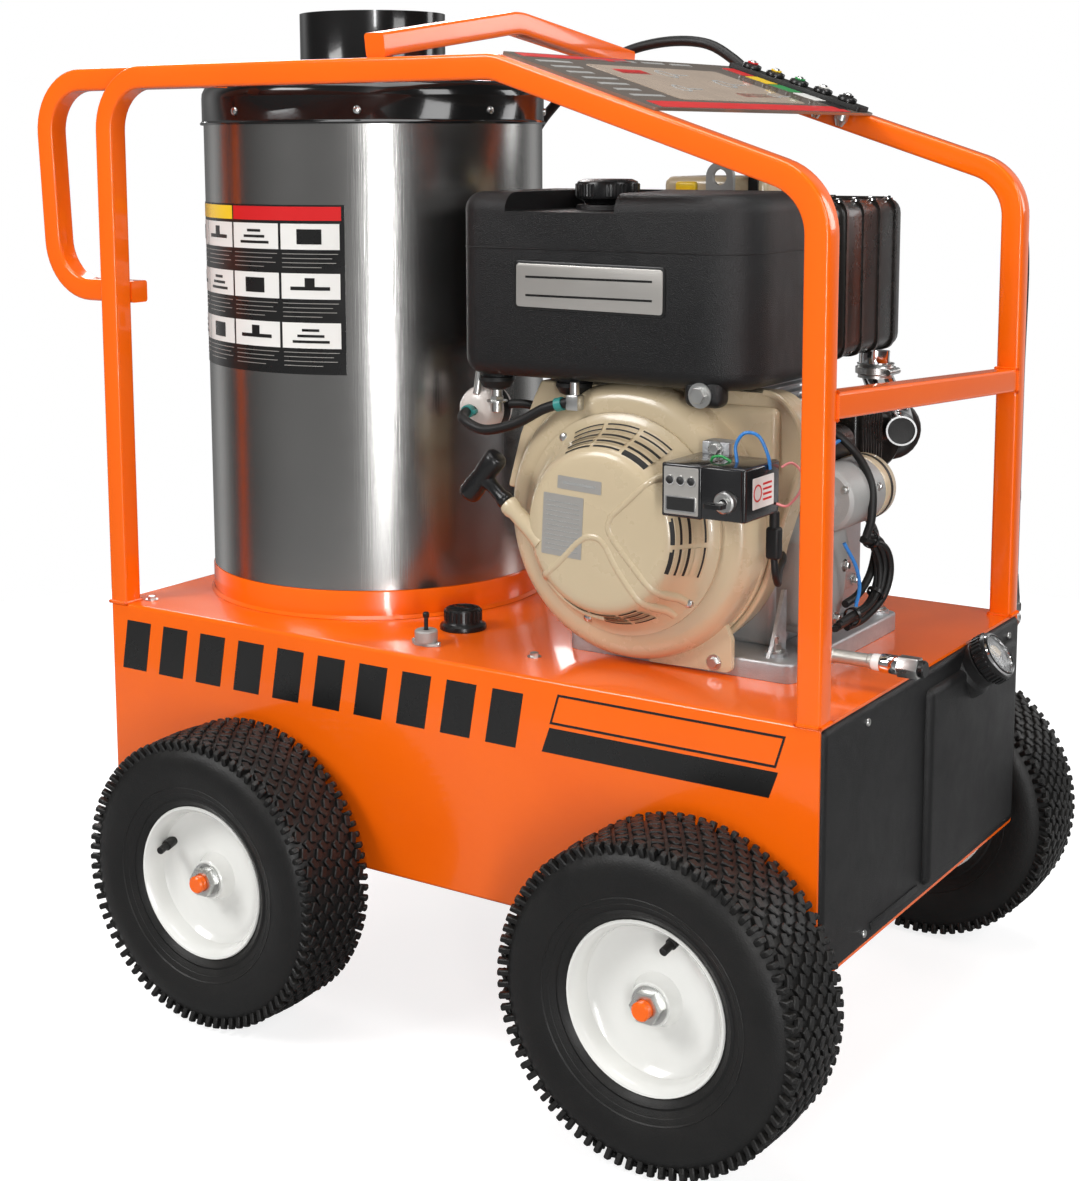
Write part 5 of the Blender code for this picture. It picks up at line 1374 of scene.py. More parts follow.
def make_crankcase():
    """The cast block, its side cover and its bolts."""
    own = bmesh.new()
    base = DECK + GAP
    left = CRANK_X - 0.086
    right = CRANK_X + 0.179
    feet = ((left + 0.014, -0.136), (0.344, -0.122), (right - 0.016, 0.1), (left + 0.014, 0.1))
    outline = round_outline([(left, -0.15), (right, -0.15), (right, 0.12), (left, 0.12)], 0.012, 5)
    plate(own, outline, 0.02, Matrix.Translation((0, 0, base)), 0.003, 3)
    slab(own, (CRANK_X - 0.105, -0.0985, base + 0.018), (CRANK_X + 0.135, 0.12, 0.64), 0.01, 4)
    slab(own, (CRANK_X - 0.085, -0.09, 0.63), (CRANK_X + 0.065, 0.1, TANK_LOW.z - 0.004), 0.005, 3)
    slab(own, (CRANK_X - 0.06, -0.012, 0.7), (CRANK_X + 0.05, 0.1, 0.7435), 0.006, 3)
    fin = slab(bmesh.new(), (CRANK_X - 0.095, -0.093, 0.0), (CRANK_X + 0.078, 0.108, 0.0022), 0.0008, 1)
    row(own, fin, 8, (0, 0, 0.648), (0, 0, 0.0088))
    plate(own, [(0, 0), (0.04, 0), (0.03, 0.012), (0.005, 0.066), (0, 0.066)], 0.004,
        Matrix.Translation((0.345, -0.1, base + 0.018)) @ Matrix.Rotation(-pi / 2, 4, "Z") @
        Matrix.Rotation(pi / 2, 4, "X"))
    for x, y in feet:
        lathe(own, [(0, 0.018), (0.0125, 0.018), (0.012, 0.0235), (0.006, 0.024), (0, 0.024)], (x, y, base),
            UP, 28)
    plate(own, round_outline(rectangle(0.07, 0.085), 0.008, 5), 0.006,
        facing((CRANK_X + 0.1345, 0.055, 0.52), RIGHT), 0.0015, 2)
    piece("crankcase", own, ALLOY, replaces=("engine_crankcase",), sharp=40)
    own = bmesh.new()
    outline = round_outline([(-0.094, 0.47), (-0.05, 0.47), (-0.034, 0.5), (-0.024, 0.552), (-0.044, 0.59),
        (-0.076, 0.586), (-0.094, 0.56)], 0.01, 6)
    face = Matrix(((0, 0, 1, CRANK_X + 0.128), (1, 0, 0, 0), (0, 1, 0, 0), (0, 0, 0, 1)))
    plate(own, outline, 0.056, face, 0.006, 4)
    slab(own, (CRANK_X + 0.126, -0.088, 0.462), (CRANK_X + 0.172, -0.03, 0.48), 0.005, 3)
    piece("side_cover", own, GREY_CAST, sharp=40)
    own = bmesh.new()
    for y, z in ((-0.086, 0.48), (-0.06, 0.478), (-0.04, 0.53), (-0.056, 0.578), (-0.086, 0.566)):
        merge(own, socket_head(0.0044, 0.005), facing((CRANK_X + 0.184, y, z), RIGHT))
    for x, y in feet:
        merge(own, socket_head(0.0065, 0.007), Matrix.Translation((x, y, base + 0.0245)))
        pipe(own, (x, y, base + 0.028), (x, y, base + 0.04), 0.0038, 16)
    for y, z in ((0.028, 0.486), (0.028, 0.554), (0.082, 0.486), (0.082, 0.554)):
        merge(own, socket_head(0.0044, 0.005), facing((CRANK_X + 0.141, y, z), RIGHT))
    piece("crankcase_bolts", own, ZINC)
    own = slab(bmesh.new(), (0.368, -0.198, 0.564), (0.382, -0.186, 0.596), 0.003, 3)
    pipe(own, (0.375, -0.192, 0.611), (0.375, -0.192, 0.594), 0.005, 24)
    tube(own, smooth([(0.375, -0.192, 0.566), (0.376, -0.19, 0.548), (0.372, -0.176, 0.536),
        (0.36, -0.15, 0.54), (0.35, -0.12, 0.548), (0.34, -0.104, 0.55)], 0.004), 0.0036, 12)
    piece("plug_lead", own, RUBBER)


def make_top_fittings():
    own = slab(bmesh.new(), (0.1305, 0.0145, 0.7446), (0.2573, 0.1095, 0.929), 0.009, 4)
    slab(own, (0.129, 0.013, 0.86), (0.2585, 0.111, 0.866), 0.002, 2)
    piece("air_cleaner_case", own, TAN, replaces=("air_cleaner",))
    own = bmesh.new()
    loop = round_outline([(-0.051, -0.002), (0.051, -0.002), (0.051, 0.19), (-0.051, 0.19)], 0.01, 5)
    inside = round_outline([(-0.048, 0.0), (0.048, 0.0), (0.048, 0.185), (-0.048, 0.185)], 0.009, 5)
    face = Matrix(((0, 0, 1, 0.238), (1, 0, 0, 0.062), (0, 1, 0, 0.7446), (0, 0, 0, 1)))
    plate(own, loop, 0.011, face, 0.0, 2, (inside,))
    piece("air_cleaner_strap", own, RUBBER)
    outline = []
    for step in range(25):
        angle = pi * step / 24
        outline.append((0.214 + 0.0165 * cos(angle), 0.929 + 0.0165 * sin(angle)))
    outline += [(0.1975, 0.7446), (0.2305, 0.7446)]
    piece("lifting_lug", plate(bmesh.new(), outline, 0.005, facing((0, -0.0045, 0), FRONT), 0.0, 2,
        (disc(0.0085, 32, (0.214, 0.929)),)), GREY_CAST, replaces=("lifting_eye",))
    piece("oil_filler_neck", pipe(bmesh.new(), (0.171, -0.004, 0.745), (0.171, -0.004, 0.908), 0.0105, 28),
        SMOOTH_BLACK)
    own = lathe(bmesh.new(), [(0, 0.906), (0.014, 0.906), (0.0145, 0.909), (0.0135, 0.914), (0, 0.915)],
        (0.171, -0.004, 0), UP, 36)
    slab(own, (0.158, -0.0075, 0.913), (0.184, -0.0005, 0.924), 0.003, 3)
    piece("oil_filler_cap", own, YELLOW)


def make_exhaust():
    """The banded silencer, its tail pipe and what stands behind it."""
    own = slab(bmesh.new(), (0.2595, 0.0055, 0.7365), (0.3465, 0.1845, 0.9045), 0.017, 5)
    outer = round_outline([(0.258, 0.735), (0.348, 0.735), (0.348, 0.906), (0.258, 0.906)], 0.018, 6)
    inner = round_outline([(0.261, 0.738), (0.345, 0.738), (0.345, 0.903), (0.261, 0.903)], 0.016, 6)
    band = plate(bmesh.new(), outer, 0.0055, facing((0, 0, 0), FRONT), 0.0, 2, (inner,))
    row(own, band, 4, (0, 0.03, 0), (0, 0.043, 0))
    piece("silencer", own, MUFFLER_BLACK, replaces=("muffler",), sharp=40)
    own = bmesh.new()
    for y in (0.0275, 0.0705, 0.1135, 0.1565):
        for x in (0.27, 0.336):
            merge(own, socket_head(0.0042, 0.0026), Matrix.Translation((x, y, 0.9035)))
    piece("silencer_bolts", own, CHROME)
    route = [(0.328, 0.15, 0.7347), (0.328, 0.15, 0.718), (0.332, 0.16, 0.694), (0.341, 0.176, 0.668),
        (0.354, 0.163, 0.65), (0.3675, 0.137, 0.6475)]
    path = smooth(route, 0.004)
    bore = path[-10:] + [path[-1] + 0.012 * (path[-1] - path[-2]).normalized()]
    own = carved(tube(bmesh.new(), path, 0.017, 36), tube(bmesh.new(), bore, 0.015, 36))
    piece("tail_pipe", own, CHROME, replaces=("exhaust_pipe",))
    piece("tail_pipe_soot", tube(bmesh.new(), path[-11:-1], 0.0149, 36), RUBBER)
    own = bmesh.new()
    collar = [(0.0168, -0.008), (0.02, -0.008), (0.0196, -0.005), (0.0212, -0.003), (0.0198, 0.0),
        (0.0212, 0.002), (0.0198, 0.005), (0.021, 0.008), (0.0168, 0.009)]
    lathe(own, collar, (0.329, 0.151, 0.712), UP, 40, closed=True)
    band = [(0.0208, -0.003), (0.0226, -0.003), (0.0226, 0.004), (0.0208, 0.004)]
    lathe(own, band, (0.329, 0.151, 0.712), UP, 40, closed=True)
    pipe(own, (0.352, 0.132, 0.712), (0.352, 0.16, 0.712), 0.0036, 20)
    piece("exhaust_clamp", own, ZINC)
    across = Vector((cos(radians(33.7)), sin(radians(33.7)), 0))
    middle = Vector((0.332, 0.19, 0.64))
    loop = []
    for step in range(21):
        angle = radians(120 - 13.5 * step)
        loop.append(middle + 0.0255 * (cos(angle) * across + sin(angle) * Vector((0, 0, 1))))
    piece("breather_duct", tube(bmesh.new(), loop, 0.0095, 24), RUBBER)
    own = slab(bmesh.new(), (0.322, 0.04, 0.604), (0.358, 0.1, 0.694), 0.006, 3)
    fin = slab(bmesh.new(), (0.356, -0.0018, 0.608), (0.3625, 0.0018, 0.69), 0.0012, 2)
    row(own, fin, 8, (0, 0.0455, 0), (0, 0.007, 0))
    lathe(own, [(0, 0.0), (0.03, 0.0), (0.034, 0.003), (0.034, 0.016), (0.03, 0.02), (0, 0.02)],
        (0.322, 0.15, 0.635), (0.83, -0.4, 0), 48)
    piece("finned_cover", own, MUFFLER_BLACK)


def make_starter_motor():
    x, z = 0.372, 0.603
    nose = [(0, 0.082), (0.012, 0.082), (0.014, 0.08), (0.015, 0.0755), (0.029, 0.0745), (0.033, 0.0715),
        (0.0346, 0.067), (0.035, -0.004), (0, -0.004)]
    piece("starter_nose", lathe(bmesh.new(), nose, (x, 0, z), FRONT, 64), GREY_CAST,
        replaces=("starter_motor",))
    own = lathe(bmesh.new(), [(0, -0.0038), (0.0345, -0.0038), (0.0356, -0.0055), (0.0356, -0.0295),
        (0.034, -0.0325), (0, -0.033)], (x, 0, z), FRONT, 64)
    piece("starter_body", own, TAN)
    own = lathe(bmesh.new(), [(0.0354, -0.0165), (0.036, -0.0165), (0.036, -0.0215), (0.0354, -0.0215)],
        (x, 0, z), FRONT, 64, closed=True)
    piece("starter_band", own, RUBBER)
    own = bmesh.new()
    for turn in range(3):
        spot = (x + 0.027 * cos(turn * 2.094 + 0.5), -0.0743, z + 0.027 * sin(turn * 2.094 + 0.5))
        merge(own, socket_head(0.003, 0.0026), facing(spot, FRONT))
    for y in (-0.03, -0.012):
        merge(own, socket_head(0.003, 0.0026), facing((x + 0.0338, y, z + 0.008), RIGHT))
    piece("starter_screws", own, ZINC)
    own = lathe(bmesh.new(), [(0, 0.05), (0.016, 0.05), (0.018, 0.047), (0.018, -0.01), (0.015, -0.014),
        (0, -0.014)], (0.35, 0, 0.652), FRONT, 48)
    piece("starter_relay", own, MUFFLER_BLACK)
    own = bmesh.new()
    for spot in ((0.346, 0, 0.658), (0.358, 0, 0.65)):
        lathe(own, [(0, 0.056), (0.0038, 0.056), (0.0042, 0.05), (0, 0.05)], spot, FRONT, 20)
    piece("relay_posts", own, ZINC)


def make_wiring():
    route = [(0.402, -0.036, 0.562), (0.405, -0.012, 0.55), (0.406, -0.002, 0.526), (0.405, -0.01, 0.5),
        (0.402, -0.034, 0.485), (0.399, -0.064, 0.481), (0.399, -0.094, 0.479)]
    path = smooth(route, 0.003)
    own = bmesh.new()
    for strand in range(6):
        turned = []
        for index, point in enumerate(path):
            angle = strand * 2 * pi / 6 + index * 0.05
            spread_out = 0.005 * (1.0 + 0.5 * sin(pi * index / (len(path) - 1)))
            turned.append(point + Vector((0.55 * spread_out * cos(angle), spread_out * sin(angle),
                0.6 * spread_out * sin(angle + 0.7))))
        tube(own, turned, 0.0031, 10)
    piece("loom", own, RUBBER, replaces=("wiring_harness",))
    own = bmesh.new()
    for spot in (4, 28, 44):
        axis = path[spot + 1] - path[spot]
        lathe(own, [(0.0082, -0.002), (0.0096, -0.002), (0.0096, 0.002), (0.0082, 0.002)], path[spot], axis,
            28, closed=True)
    piece("loom_ties", own, SMOOTH_BLACK)
    own = tube(bmesh.new(), smooth([(0.394, -0.07, 0.56), (0.402, -0.058, 0.535), (0.404, -0.052, 0.512),
        (0.402, -0.056, 0.492)], 0.004), 0.002, 10)
    tube(own, smooth([(0.366, -0.046, 0.654), (0.372, -0.03, 0.66), (0.38, -0.014, 0.648),
        (0.384, -0.006, 0.63)], 0.004), 0.002, 10)
    piece("blue_leads", own, BLUE)
    own = tube(bmesh.new(), smooth([(0.333, -0.058, 0.69), (0.352, -0.046, 0.68), (0.38, -0.026, 0.652),
        (0.404, -0.03, 0.62), (0.409, -0.036, 0.585), (0.404, -0.038, 0.562)], 0.005), 0.0045, 14)
    tube(own, smooth([(0.402, -0.04, 0.56), (0.41, -0.004, 0.546), (0.412, 0.008, 0.52),
        (0.408, 0.0, 0.492), (0.4, -0.03, 0.474), (0.394, -0.06, 0.47)], 0.005), 0.0042, 14)
    tube(own, smooth([(0.376, 0.026, 0.572), (0.39, 0.02, 0.55), (0.396, -0.004, 0.52), (0.394, -0.03, 0.5),
        (0.392, -0.06, 0.494)], 0.005), 0.0042, 14)
    piece("black_leads", own, RUBBER)


def make_control_box():
    """The switch box with its lamps, key, label and wires."""
    low = Vector((0.295, -0.273, 0.612))
    high = Vector((0.383, -0.1975, 0.664))
    own = slab(bmesh.new(), low, (low.x + 0.043, high.y, high.z), 0.002, 3)
    slab(own, (low.x + 0.0425, low.y + 0.004, low.z), high, 0.003, 3)
    slab(own, (low.x + 0.0425, low.y + 0.0005, low.z + 0.0012),
        (high.x - 0.003, low.y + 0.006, high.z - 0.0012), 0.0015, 2)
    piece("switch_box", own, BOX_BLACK, replaces=("control_box",))
    face = facing((low.x + 0.0215, low.y + 0.0001, (low.z + high.z) / 2), FRONT)
    piece("lamp_plate", plate(bmesh.new(), round_outline(rectangle(0.037, 0.046), 0.0015, 3), 0.0008, face,
        0.0002, 1), LABEL)
    own = bmesh.new()
    bezels = bmesh.new()
    for index in range(3):
        spot = face @ Vector((-0.0115 + 0.0115 * index, 0.01, 0.0008))
        lathe(own, [(0, 0), (0.0036, 0), (0.0034, 0.0012), (0.002, 0.0022), (0, 0.0025)], spot, FRONT, 24)
        lathe(bezels, [(0.0037, -0.0004), (0.005, -0.0004), (0.0046, 0.0012), (0.0037, 0.0014)], spot,
            FRONT, 24, closed=True)
    plate(own, round_outline(rectangle(0.03, 0.0125), 0.001, 3), 0.0006,
        face @ Matrix.Translation((0, -0.0125, 0.0008)))
    piece("lamps_and_window", own, DARK)
    plate(bezels, round_outline(rectangle(0.0325, 0.015), 0.0015, 3), 0.001,
        face @ Matrix.Translation((0, -0.0125, 0.0007)), 0.0, 2, (rectangle(0.03, 0.0125),))
    piece("lamp_bezels", bezels, CHROME)
    key_x = low.x + 0.07
    key_z = low.z + 0.02
    ringed = [(0.004, 0.0), (0.0108, 0.0), (0.011, 0.0015), (0.0104, 0.006), (0.009, 0.0072),
        (0.004, 0.007)]
    piece("key_switch_ring", lathe(bmesh.new(), ringed, (key_x, low.y, key_z), FRONT, 40, closed=True),
        ZINC)
    barrel = [(0.003, 0.0), (0.0042, 0.0), (0.0042, 0.0068), (0.003, 0.0068)]
    piece("key_barrel", lathe(bmesh.new(), barrel, (key_x, low.y, key_z), FRONT, 28, closed=True),
        SMOOTH_BLACK)
    outline = round_outline([(-0.003, 0.01), (0.003, 0.01), (0.0045, 0.015), (0.0092, 0.018),
        (0.0092, 0.0275), (0.0055, 0.0298), (-0.0055, 0.0298), (-0.0092, 0.0275), (-0.0092, 0.018),
        (-0.0045, 0.015)], 0.002, 4)
    flat = Matrix(((1, 0, 0, key_x), (0, -1, 0, low.y), (0, 0, -1, key_z + 0.0012), (0, 0, 0, 1)))
    own = plate(bmesh.new(), outline, 0.0024, flat, 0.0, 2, (disc(0.0024, 20, (0, 0.0262)),))
    pipe(own, (key_x, low.y - 0.002, key_z), (key_x, low.y - 0.012, key_z), 0.0025, 16)
    piece("key", own, ZINC, "key", ("ignition_key",))
    bow = round_outline([(-0.0097, 0.0172), (0.0097, 0.0172), (0.0097, 0.0288), (0.006, 0.03),
        (-0.006, 0.03), (-0.0097, 0.0288)], 0.003, 4)
    flat.translation.z = key_z + 0.002
    piece("key_cover", plate(bmesh.new(), bow, 0.004, flat, 0.0008, 2, (disc(0.0026, 20, (0, 0.0262)),)),
        SMOOTH_BLACK, "key")
    side = facing((high.x + 0.0001, (low.y + high.y) / 2 + 0.002, (low.z + high.z) / 2), RIGHT)
    piece("box_label", plate(bmesh.new(), round_outline(rectangle(0.044, 0.03), 0.001, 3), 0.0003, side),
        PAPER)
    own = plate(bmesh.new(), disc(0.0085, 28, (-0.012, 0)), 0.0002,
        side @ Matrix.Translation((0, 0, 0.0004)), 0, 2, (disc(0.0068, 28, (-0.012, 0)),))
    line = plate(bmesh.new(), rectangle(0.018, 0.002), 0.0002)
    row(own, line, 4, (0.008, -0.0075, 0.0004), (0, 0.005, 0), side)
    piece("box_label_marks", own, RED)
    own = slab(bmesh.new(), (low.x + 0.006, high.y - 0.006, high.z - 0.02),
        (low.x + 0.036, high.y + 0.0012, high.z + 0.012), 0.001, 2)
    slab(own, (low.x + 0.006, high.y - 0.002, high.z + 0.0105), (low.x + 0.036, -0.1815, high.z + 0.012),
        0.0006, 1)
    slab(own, (low.x - 0.001, high.y - 0.004, low.z + 0.004),
        (low.x + 0.06, high.y + 0.0012, low.z + 0.014), 0.0006, 1)
    piece("box_bracket", own, ALLOY)
    own = bmesh.new()
    merge(own, socket_head(0.0055, 0.004), facing((low.x + 0.021, high.y - 0.006, high.z + 0.005), FRONT))
    piece("bracket_bolt", own, ZINC)
    own = tube(bmesh.new(), smooth([(0.356, -0.235, 0.6635), (0.354, -0.234, 0.68), (0.362, -0.232, 0.692),
        (0.376, -0.23, 0.69), (0.384, -0.226, 0.672), (0.3845, -0.222, 0.658)], 0.003), 0.0017, 12)
    piece("blue_loop", own, BLUE)
    own = tube(bmesh.new(), smooth([(0.3835, -0.206, 0.622), (0.393, -0.2, 0.62), (0.402, -0.192, 0.634),
        (0.402, -0.188, 0.65), (0.392, -0.19, 0.66), (0.3835, -0.196, 0.656)], 0.003), 0.0013, 12)
    piece("pink_loop", own, PINK)
    own = tube(bmesh.new(), smooth([(0.331, -0.24, 0.6637), (0.334, -0.242, 0.668), (0.342, -0.24, 0.669),
        (0.35, -0.236, 0.664)], 0.003), 0.0014, 12)
    piece("green_wire", own, GREEN)


def make_fuel_line():
    """The filter bulb and the fuel pipe from it to the engine."""
    x, y, z = -0.012, -0.15, 0.676
    bulb = [(0, 0.0), (0.01, 0.0), (0.017, -0.0015), (0.0225, -0.0055), (0.0254, -0.012), (0.026, -0.02),
        (0.026, -0.03), (0.0254, -0.038), (0.022, -0.044), (0.016, -0.0472), (0.009, -0.048), (0, -0.048)]
    piece("filter_bulb", lathe(bmesh.new(), bulb, (x, y, z), FRONT, 56), MILKY, replaces=("fuel_filter",))
    own = lathe(bmesh.new(), [(0.0259, -0.0215), (0.0272, -0.0215), (0.0272, -0.033), (0.0259, -0.033)],
        (x, y, z), FRONT, 56, closed=True)
    piece("filter_strap", own, RUBBER)
    route = [(x, y - GAP, z), (x, y - 0.014, z), (x + 0.012, y - 0.036, z - 0.004),
        (x + 0.045, y - 0.043, z - 0.012), (x + 0.085, y - 0.043, z - 0.002),
        (x + 0.12, y - 0.042, z + 0.016), (x + 0.15, y - 0.041, z + 0.025)]
    path = smooth(route, 0.004)
    hose = piece("fuel_pipe", tube(bmesh.new(), path, 0.0055, 20), RUBBER, replaces=("fuel_hose",))
    own = bmesh.new()
    for spot, after in ((2, 3), (-4, -3)):
        axis = path[after] - path[spot]
        clip = [(0.0054, -0.004), (0.0072, -0.004), (0.0072, 0.004), (0.0054, 0.004)]
        lathe(own, clip, path[spot], axis, 28, closed=True)
        slab(own, (0.006, -0.0022, -0.0036), (0.0105, 0.0022, 0.0036), 0.0008, 2, facing(path[spot], axis))
    piece("hose_clips", own, TEAL)
    own = bmesh.new()
    end = path[-1]
    slab(own, end + Vector((-0.001, -0.0055, -0.008)), end + Vector((0.014, 0.0075, 0.008)), 0.0015, 2)
    pipe(own, end + Vector((0.0065, 0.001, 0.006)), end + Vector((0.0065, 0.001, 0.0215)), 0.005, 20)
    pipe(own, (x + 0.002, y + 0.004, z + 0.018), (x + 0.004, y + 0.008, TANK_LOW.z - 0.001), 0.0045, 20)
    piece("fuel_fittings", own, ZINC)
    own = tube(bmesh.new(), smooth([(x, y + 0.0005, z), (x + 0.002, y + 0.02, z - 0.002),
        (x + 0.03, y + 0.034, z + 0.006), (x + 0.06, y + 0.038, z + 0.004),
        (x + 0.092, y + 0.042, z - 0.01)], 0.005), 0.005, 16)
    piece("pump_feed_hose", own, RUBBER)


def make_drain():
    y, z = -0.122, 0.4565
    start = CRANK_X + 0.19 - 0.014
    own = pipe(bmesh.new(), (start, y, z), (0.47, y, z), 0.0068, 32)
    lathe(own, [(0, 0), (0.0105, 0), (0.0112, 0.002), (0.0112, 0.014), (0.01, 0.016), (0, 0.016)],
        (start + 0.004, y, z), RIGHT, 32)
    pipe(own, (start + 0.006, y, z), (start + 0.006, -0.095, z), 0.0085, 28)
    for x in (0.405, 0.446):
        lathe(own, [(0.0068, 0), (0.0076, 0.001), (0.0076, 0.004), (0.0068, 0.005)], (x, y, z), RIGHT, 32,
            closed=True)
    piece("drain_tube", own, GALVANISED, replaces=("drain_pipe",))
    own = lathe(bmesh.new(), [(0.0066, 0.45), (0.008, 0.4512), (0.0084, 0.455), (0.0082, 0.46),
        (0.0066, 0.4612)], (0, y, z), RIGHT, 32, closed=True)
    piece("thread_tape", own, PAPER)
    own = lathe(bmesh.new(), [(0, 0.46), (0.009, 0.46), (0.0096, 0.4615), (0.0096, 0.4775), (0.0088, 0.479),
        (0, 0.479)], (0, y, z), RIGHT, 40)
    piece("drain_coupling", own, CHROME)
    piece("drain_hexagon", plate(bmesh.new(), round_outline(disc(0.0116, 6), 0.001, 2), 0.021,
        facing((0.479, y, z), RIGHT), 0.001, 2), ZINC)
    own = lathe(bmesh.new(), [(0, 0.499), (0.0084, 0.499), (0.0086, 0.5), (0.0086, 0.5045), (0.0076, 0.506),
        (0, 0.506)], (0, y, z), RIGHT, 32)
    piece("drain_plug", own, SMOOTH_BLACK)


# ---- Pump, hose and what stands in the pan ---------------------------------------------------
def make_pump():
    own = slab(bmesh.new(), (CRANK_X - 0.064, 0.121, CRANK_Z - 0.069),
        (CRANK_X + 0.054, 0.224, CRANK_Z + 0.059), 0.011, 4)
    slab(own, (CRANK_X - 0.124, 0.136, CRANK_Z - 0.054), (CRANK_X - 0.06, 0.214, CRANK_Z + 0.039), 0.005, 3)
    fin = slab(bmesh.new(), (CRANK_X - 0.056, -0.0012, CRANK_Z - 0.07),
        (CRANK_X + 0.046, 0.0012, CRANK_Z + 0.06), 0.001, 1)
    row(own, fin, 8, (0, 0.14, 0), (0, 0.0105, 0))
    piece("pump_body", own, MUFFLER_BLACK, replaces=("pump",))
    own = bmesh.new()
    for z in (CRANK_Z - 0.035, CRANK_Z - 0.008, CRANK_Z + 0.02):
        for y in (0.152, 0.175, 0.198):
            merge(own, socket_head(0.0056, 0.004), facing((CRANK_X - 0.1242, y, z), (-1, 0, 0)))
    pipe(own, (CRANK_X - 0.1, 0.175, CRANK_Z + 0.035), (CRANK_X - 0.1, 0.175, CRANK_Z + 0.0848), 0.0115, 28,
        0.002)
    piece("pump_caps", own, ZINC)


def make_pressure_hose():
    """The hose from the outlet at the back frame's foot, up behind its post and rail, to the coil."""
    y = HALF_WIDTH + 0.0155
    turn = 0.053
    port_z = 0.895
    bend_z = RAIL_Z - SLOPE_DROP * (POST_X - SLOPE_START)
    out = Vector((cos(radians(86)), sin(radians(86)), 0))
    port = Vector((BURNER_X, 0, port_z)) + SHELL_RADIUS * out
    middle = turn * cos(radians(45))
    foot = Vector((POST_X, y, DECK + 0.014))
    route = [foot, (POST_X, y, 0.55), (POST_X, y, 0.7), (POST_X, y, bend_z - 0.075),
        (POST_X - 0.019, y, bend_z - 0.021)]
    route += [(x, y, RAIL_Z - SLOPE_DROP * (x - SLOPE_START)) for x in (POST_X - 0.075, 0.25, 0.15)]
    route += [(0.104, y, 1.045), (0.078, y, 1.066), (0.042, y, 1.086), (-0.006, y, 1.0915),
        (-0.06, y, 1.085), (-0.108, y, 1.068), (-0.155, y, 1.04), (-0.2, y, 1.0),
        (-0.23, y, port_z + turn + 0.012), (-0.241, y, port_z + turn - 0.008),
        (-0.2455, y - turn + middle, port_z + turn - middle), port + 0.028 * out, port + GAP * out]
    hose = piece("high_pressure_hose", tube(bmesh.new(), smooth(route, 0.008), 0.0065, 20), RUBBER,
        replaces=("pressure_hose",))
    own = lathe(bmesh.new(), [(0, -0.02), (0.009, -0.02), (0.0095, -0.018), (0.0095, 0.0), (0.0088, 0.004),
        (0.007, 0.026), (0, 0.026)], foot, UP, 28)
    plate(own, round_outline(disc(0.0118, 6), 0.001, 2), 0.009,
        Matrix.Translation(foot - Vector((0, 0, 0.016))), 0.001, 2)
    elbow = foot - Vector((0, 0, 0.026))
    pipe(own, elbow + Vector((0, 0.0095, 0)), (elbow.x, HALF_WIDTH + GAP, elbow.z), 0.0095, 28, 0.002)
    plate(own, round_outline(disc(0.015, 6), 0.001, 2), 0.006,
        facing((elbow.x, HALF_WIDTH + GAP, elbow.z), (0, 1, 0)), 0.001, 2)
    lathe(own, [(0, 0), (0.012, 0), (0.012, 0.008), (0.0085, 0.009), (0.0085, 0.03), (0, 0.031)], port, out,
        28)
    piece("hose_ends", own, ZINC)
    clips = bmesh.new()
    clip = [(0.0064, -0.005), (0.007, -0.005), (0.007, 0.005), (0.0064, 0.005)]
    for spot, axis in (((POST_X, y, 0.56), UP), ((POST_X, y, 0.76), UP), ((0.33, y, 0), -SLOPE),
            ((0.19, y, 0), -SLOPE)):
        spot = Vector(spot)
        spot.z = spot.z or RAIL_Z - SLOPE_DROP * (spot.x - SLOPE_START)
        lathe(clips, clip, spot, axis, 28, closed=True)
        slab(clips, (-0.006, -0.001, -0.0015), (0.006, 0.0095, 0.0015), 0.0005, 1,
            Matrix.Translation(spot - Vector((0, 0.0155, 0))))
    piece("hose_clips_on_frame", clips, ZINC)


def make_bay():
    """The battery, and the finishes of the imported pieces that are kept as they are."""
    low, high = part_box("battery")
    own = slab(bmesh.new(), (low.x - SHIFT + 0.001, low.y + 0.001, low.z),
        (high.x - SHIFT - 0.001, high.y - 0.001, high.z - 0.022), 0.004, 3)
    slab(own, (low.x - SHIFT, low.y, high.z - 0.024), (high.x - SHIFT, high.y, high.z - 0.004), 0.003, 3)
    piece("battery_case", own, SMOOTH_BLACK, replaces=("battery",))
    own = bmesh.new()
    for y in (low.y + 0.03, high.y - 0.03):
        pipe(own, (low.x - SHIFT + 0.03, y, high.z - 0.006), (low.x - SHIFT + 0.03, y, high.z - 0.001),
            0.008, 24)
    piece("battery_posts", own, ZINC)
    for name, finish in (("flywheel", IRON), ("crankshaft", ZINC), ("recoil_pulley", SMOOTH_BLACK),
            ("heating_coil", IRON), ("burner_blower", MUFFLER_BLACK)):
        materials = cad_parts[name].data.materials
        materials.clear()
        materials.append(finish)


for make in (make_chassis, make_stripes, make_frame, make_wheels, make_burner, make_fuel_tank,
        make_deck_fittings, make_panel, make_engine_tank, make_blower_housing, make_shroud,
        make_recoil_cover, make_crankcase, make_top_fittings, make_exhaust, make_starter_motor, make_wiring,
        make_control_box, make_fuel_line, make_drain, make_pump, make_pressure_hose, make_bay):
    make()


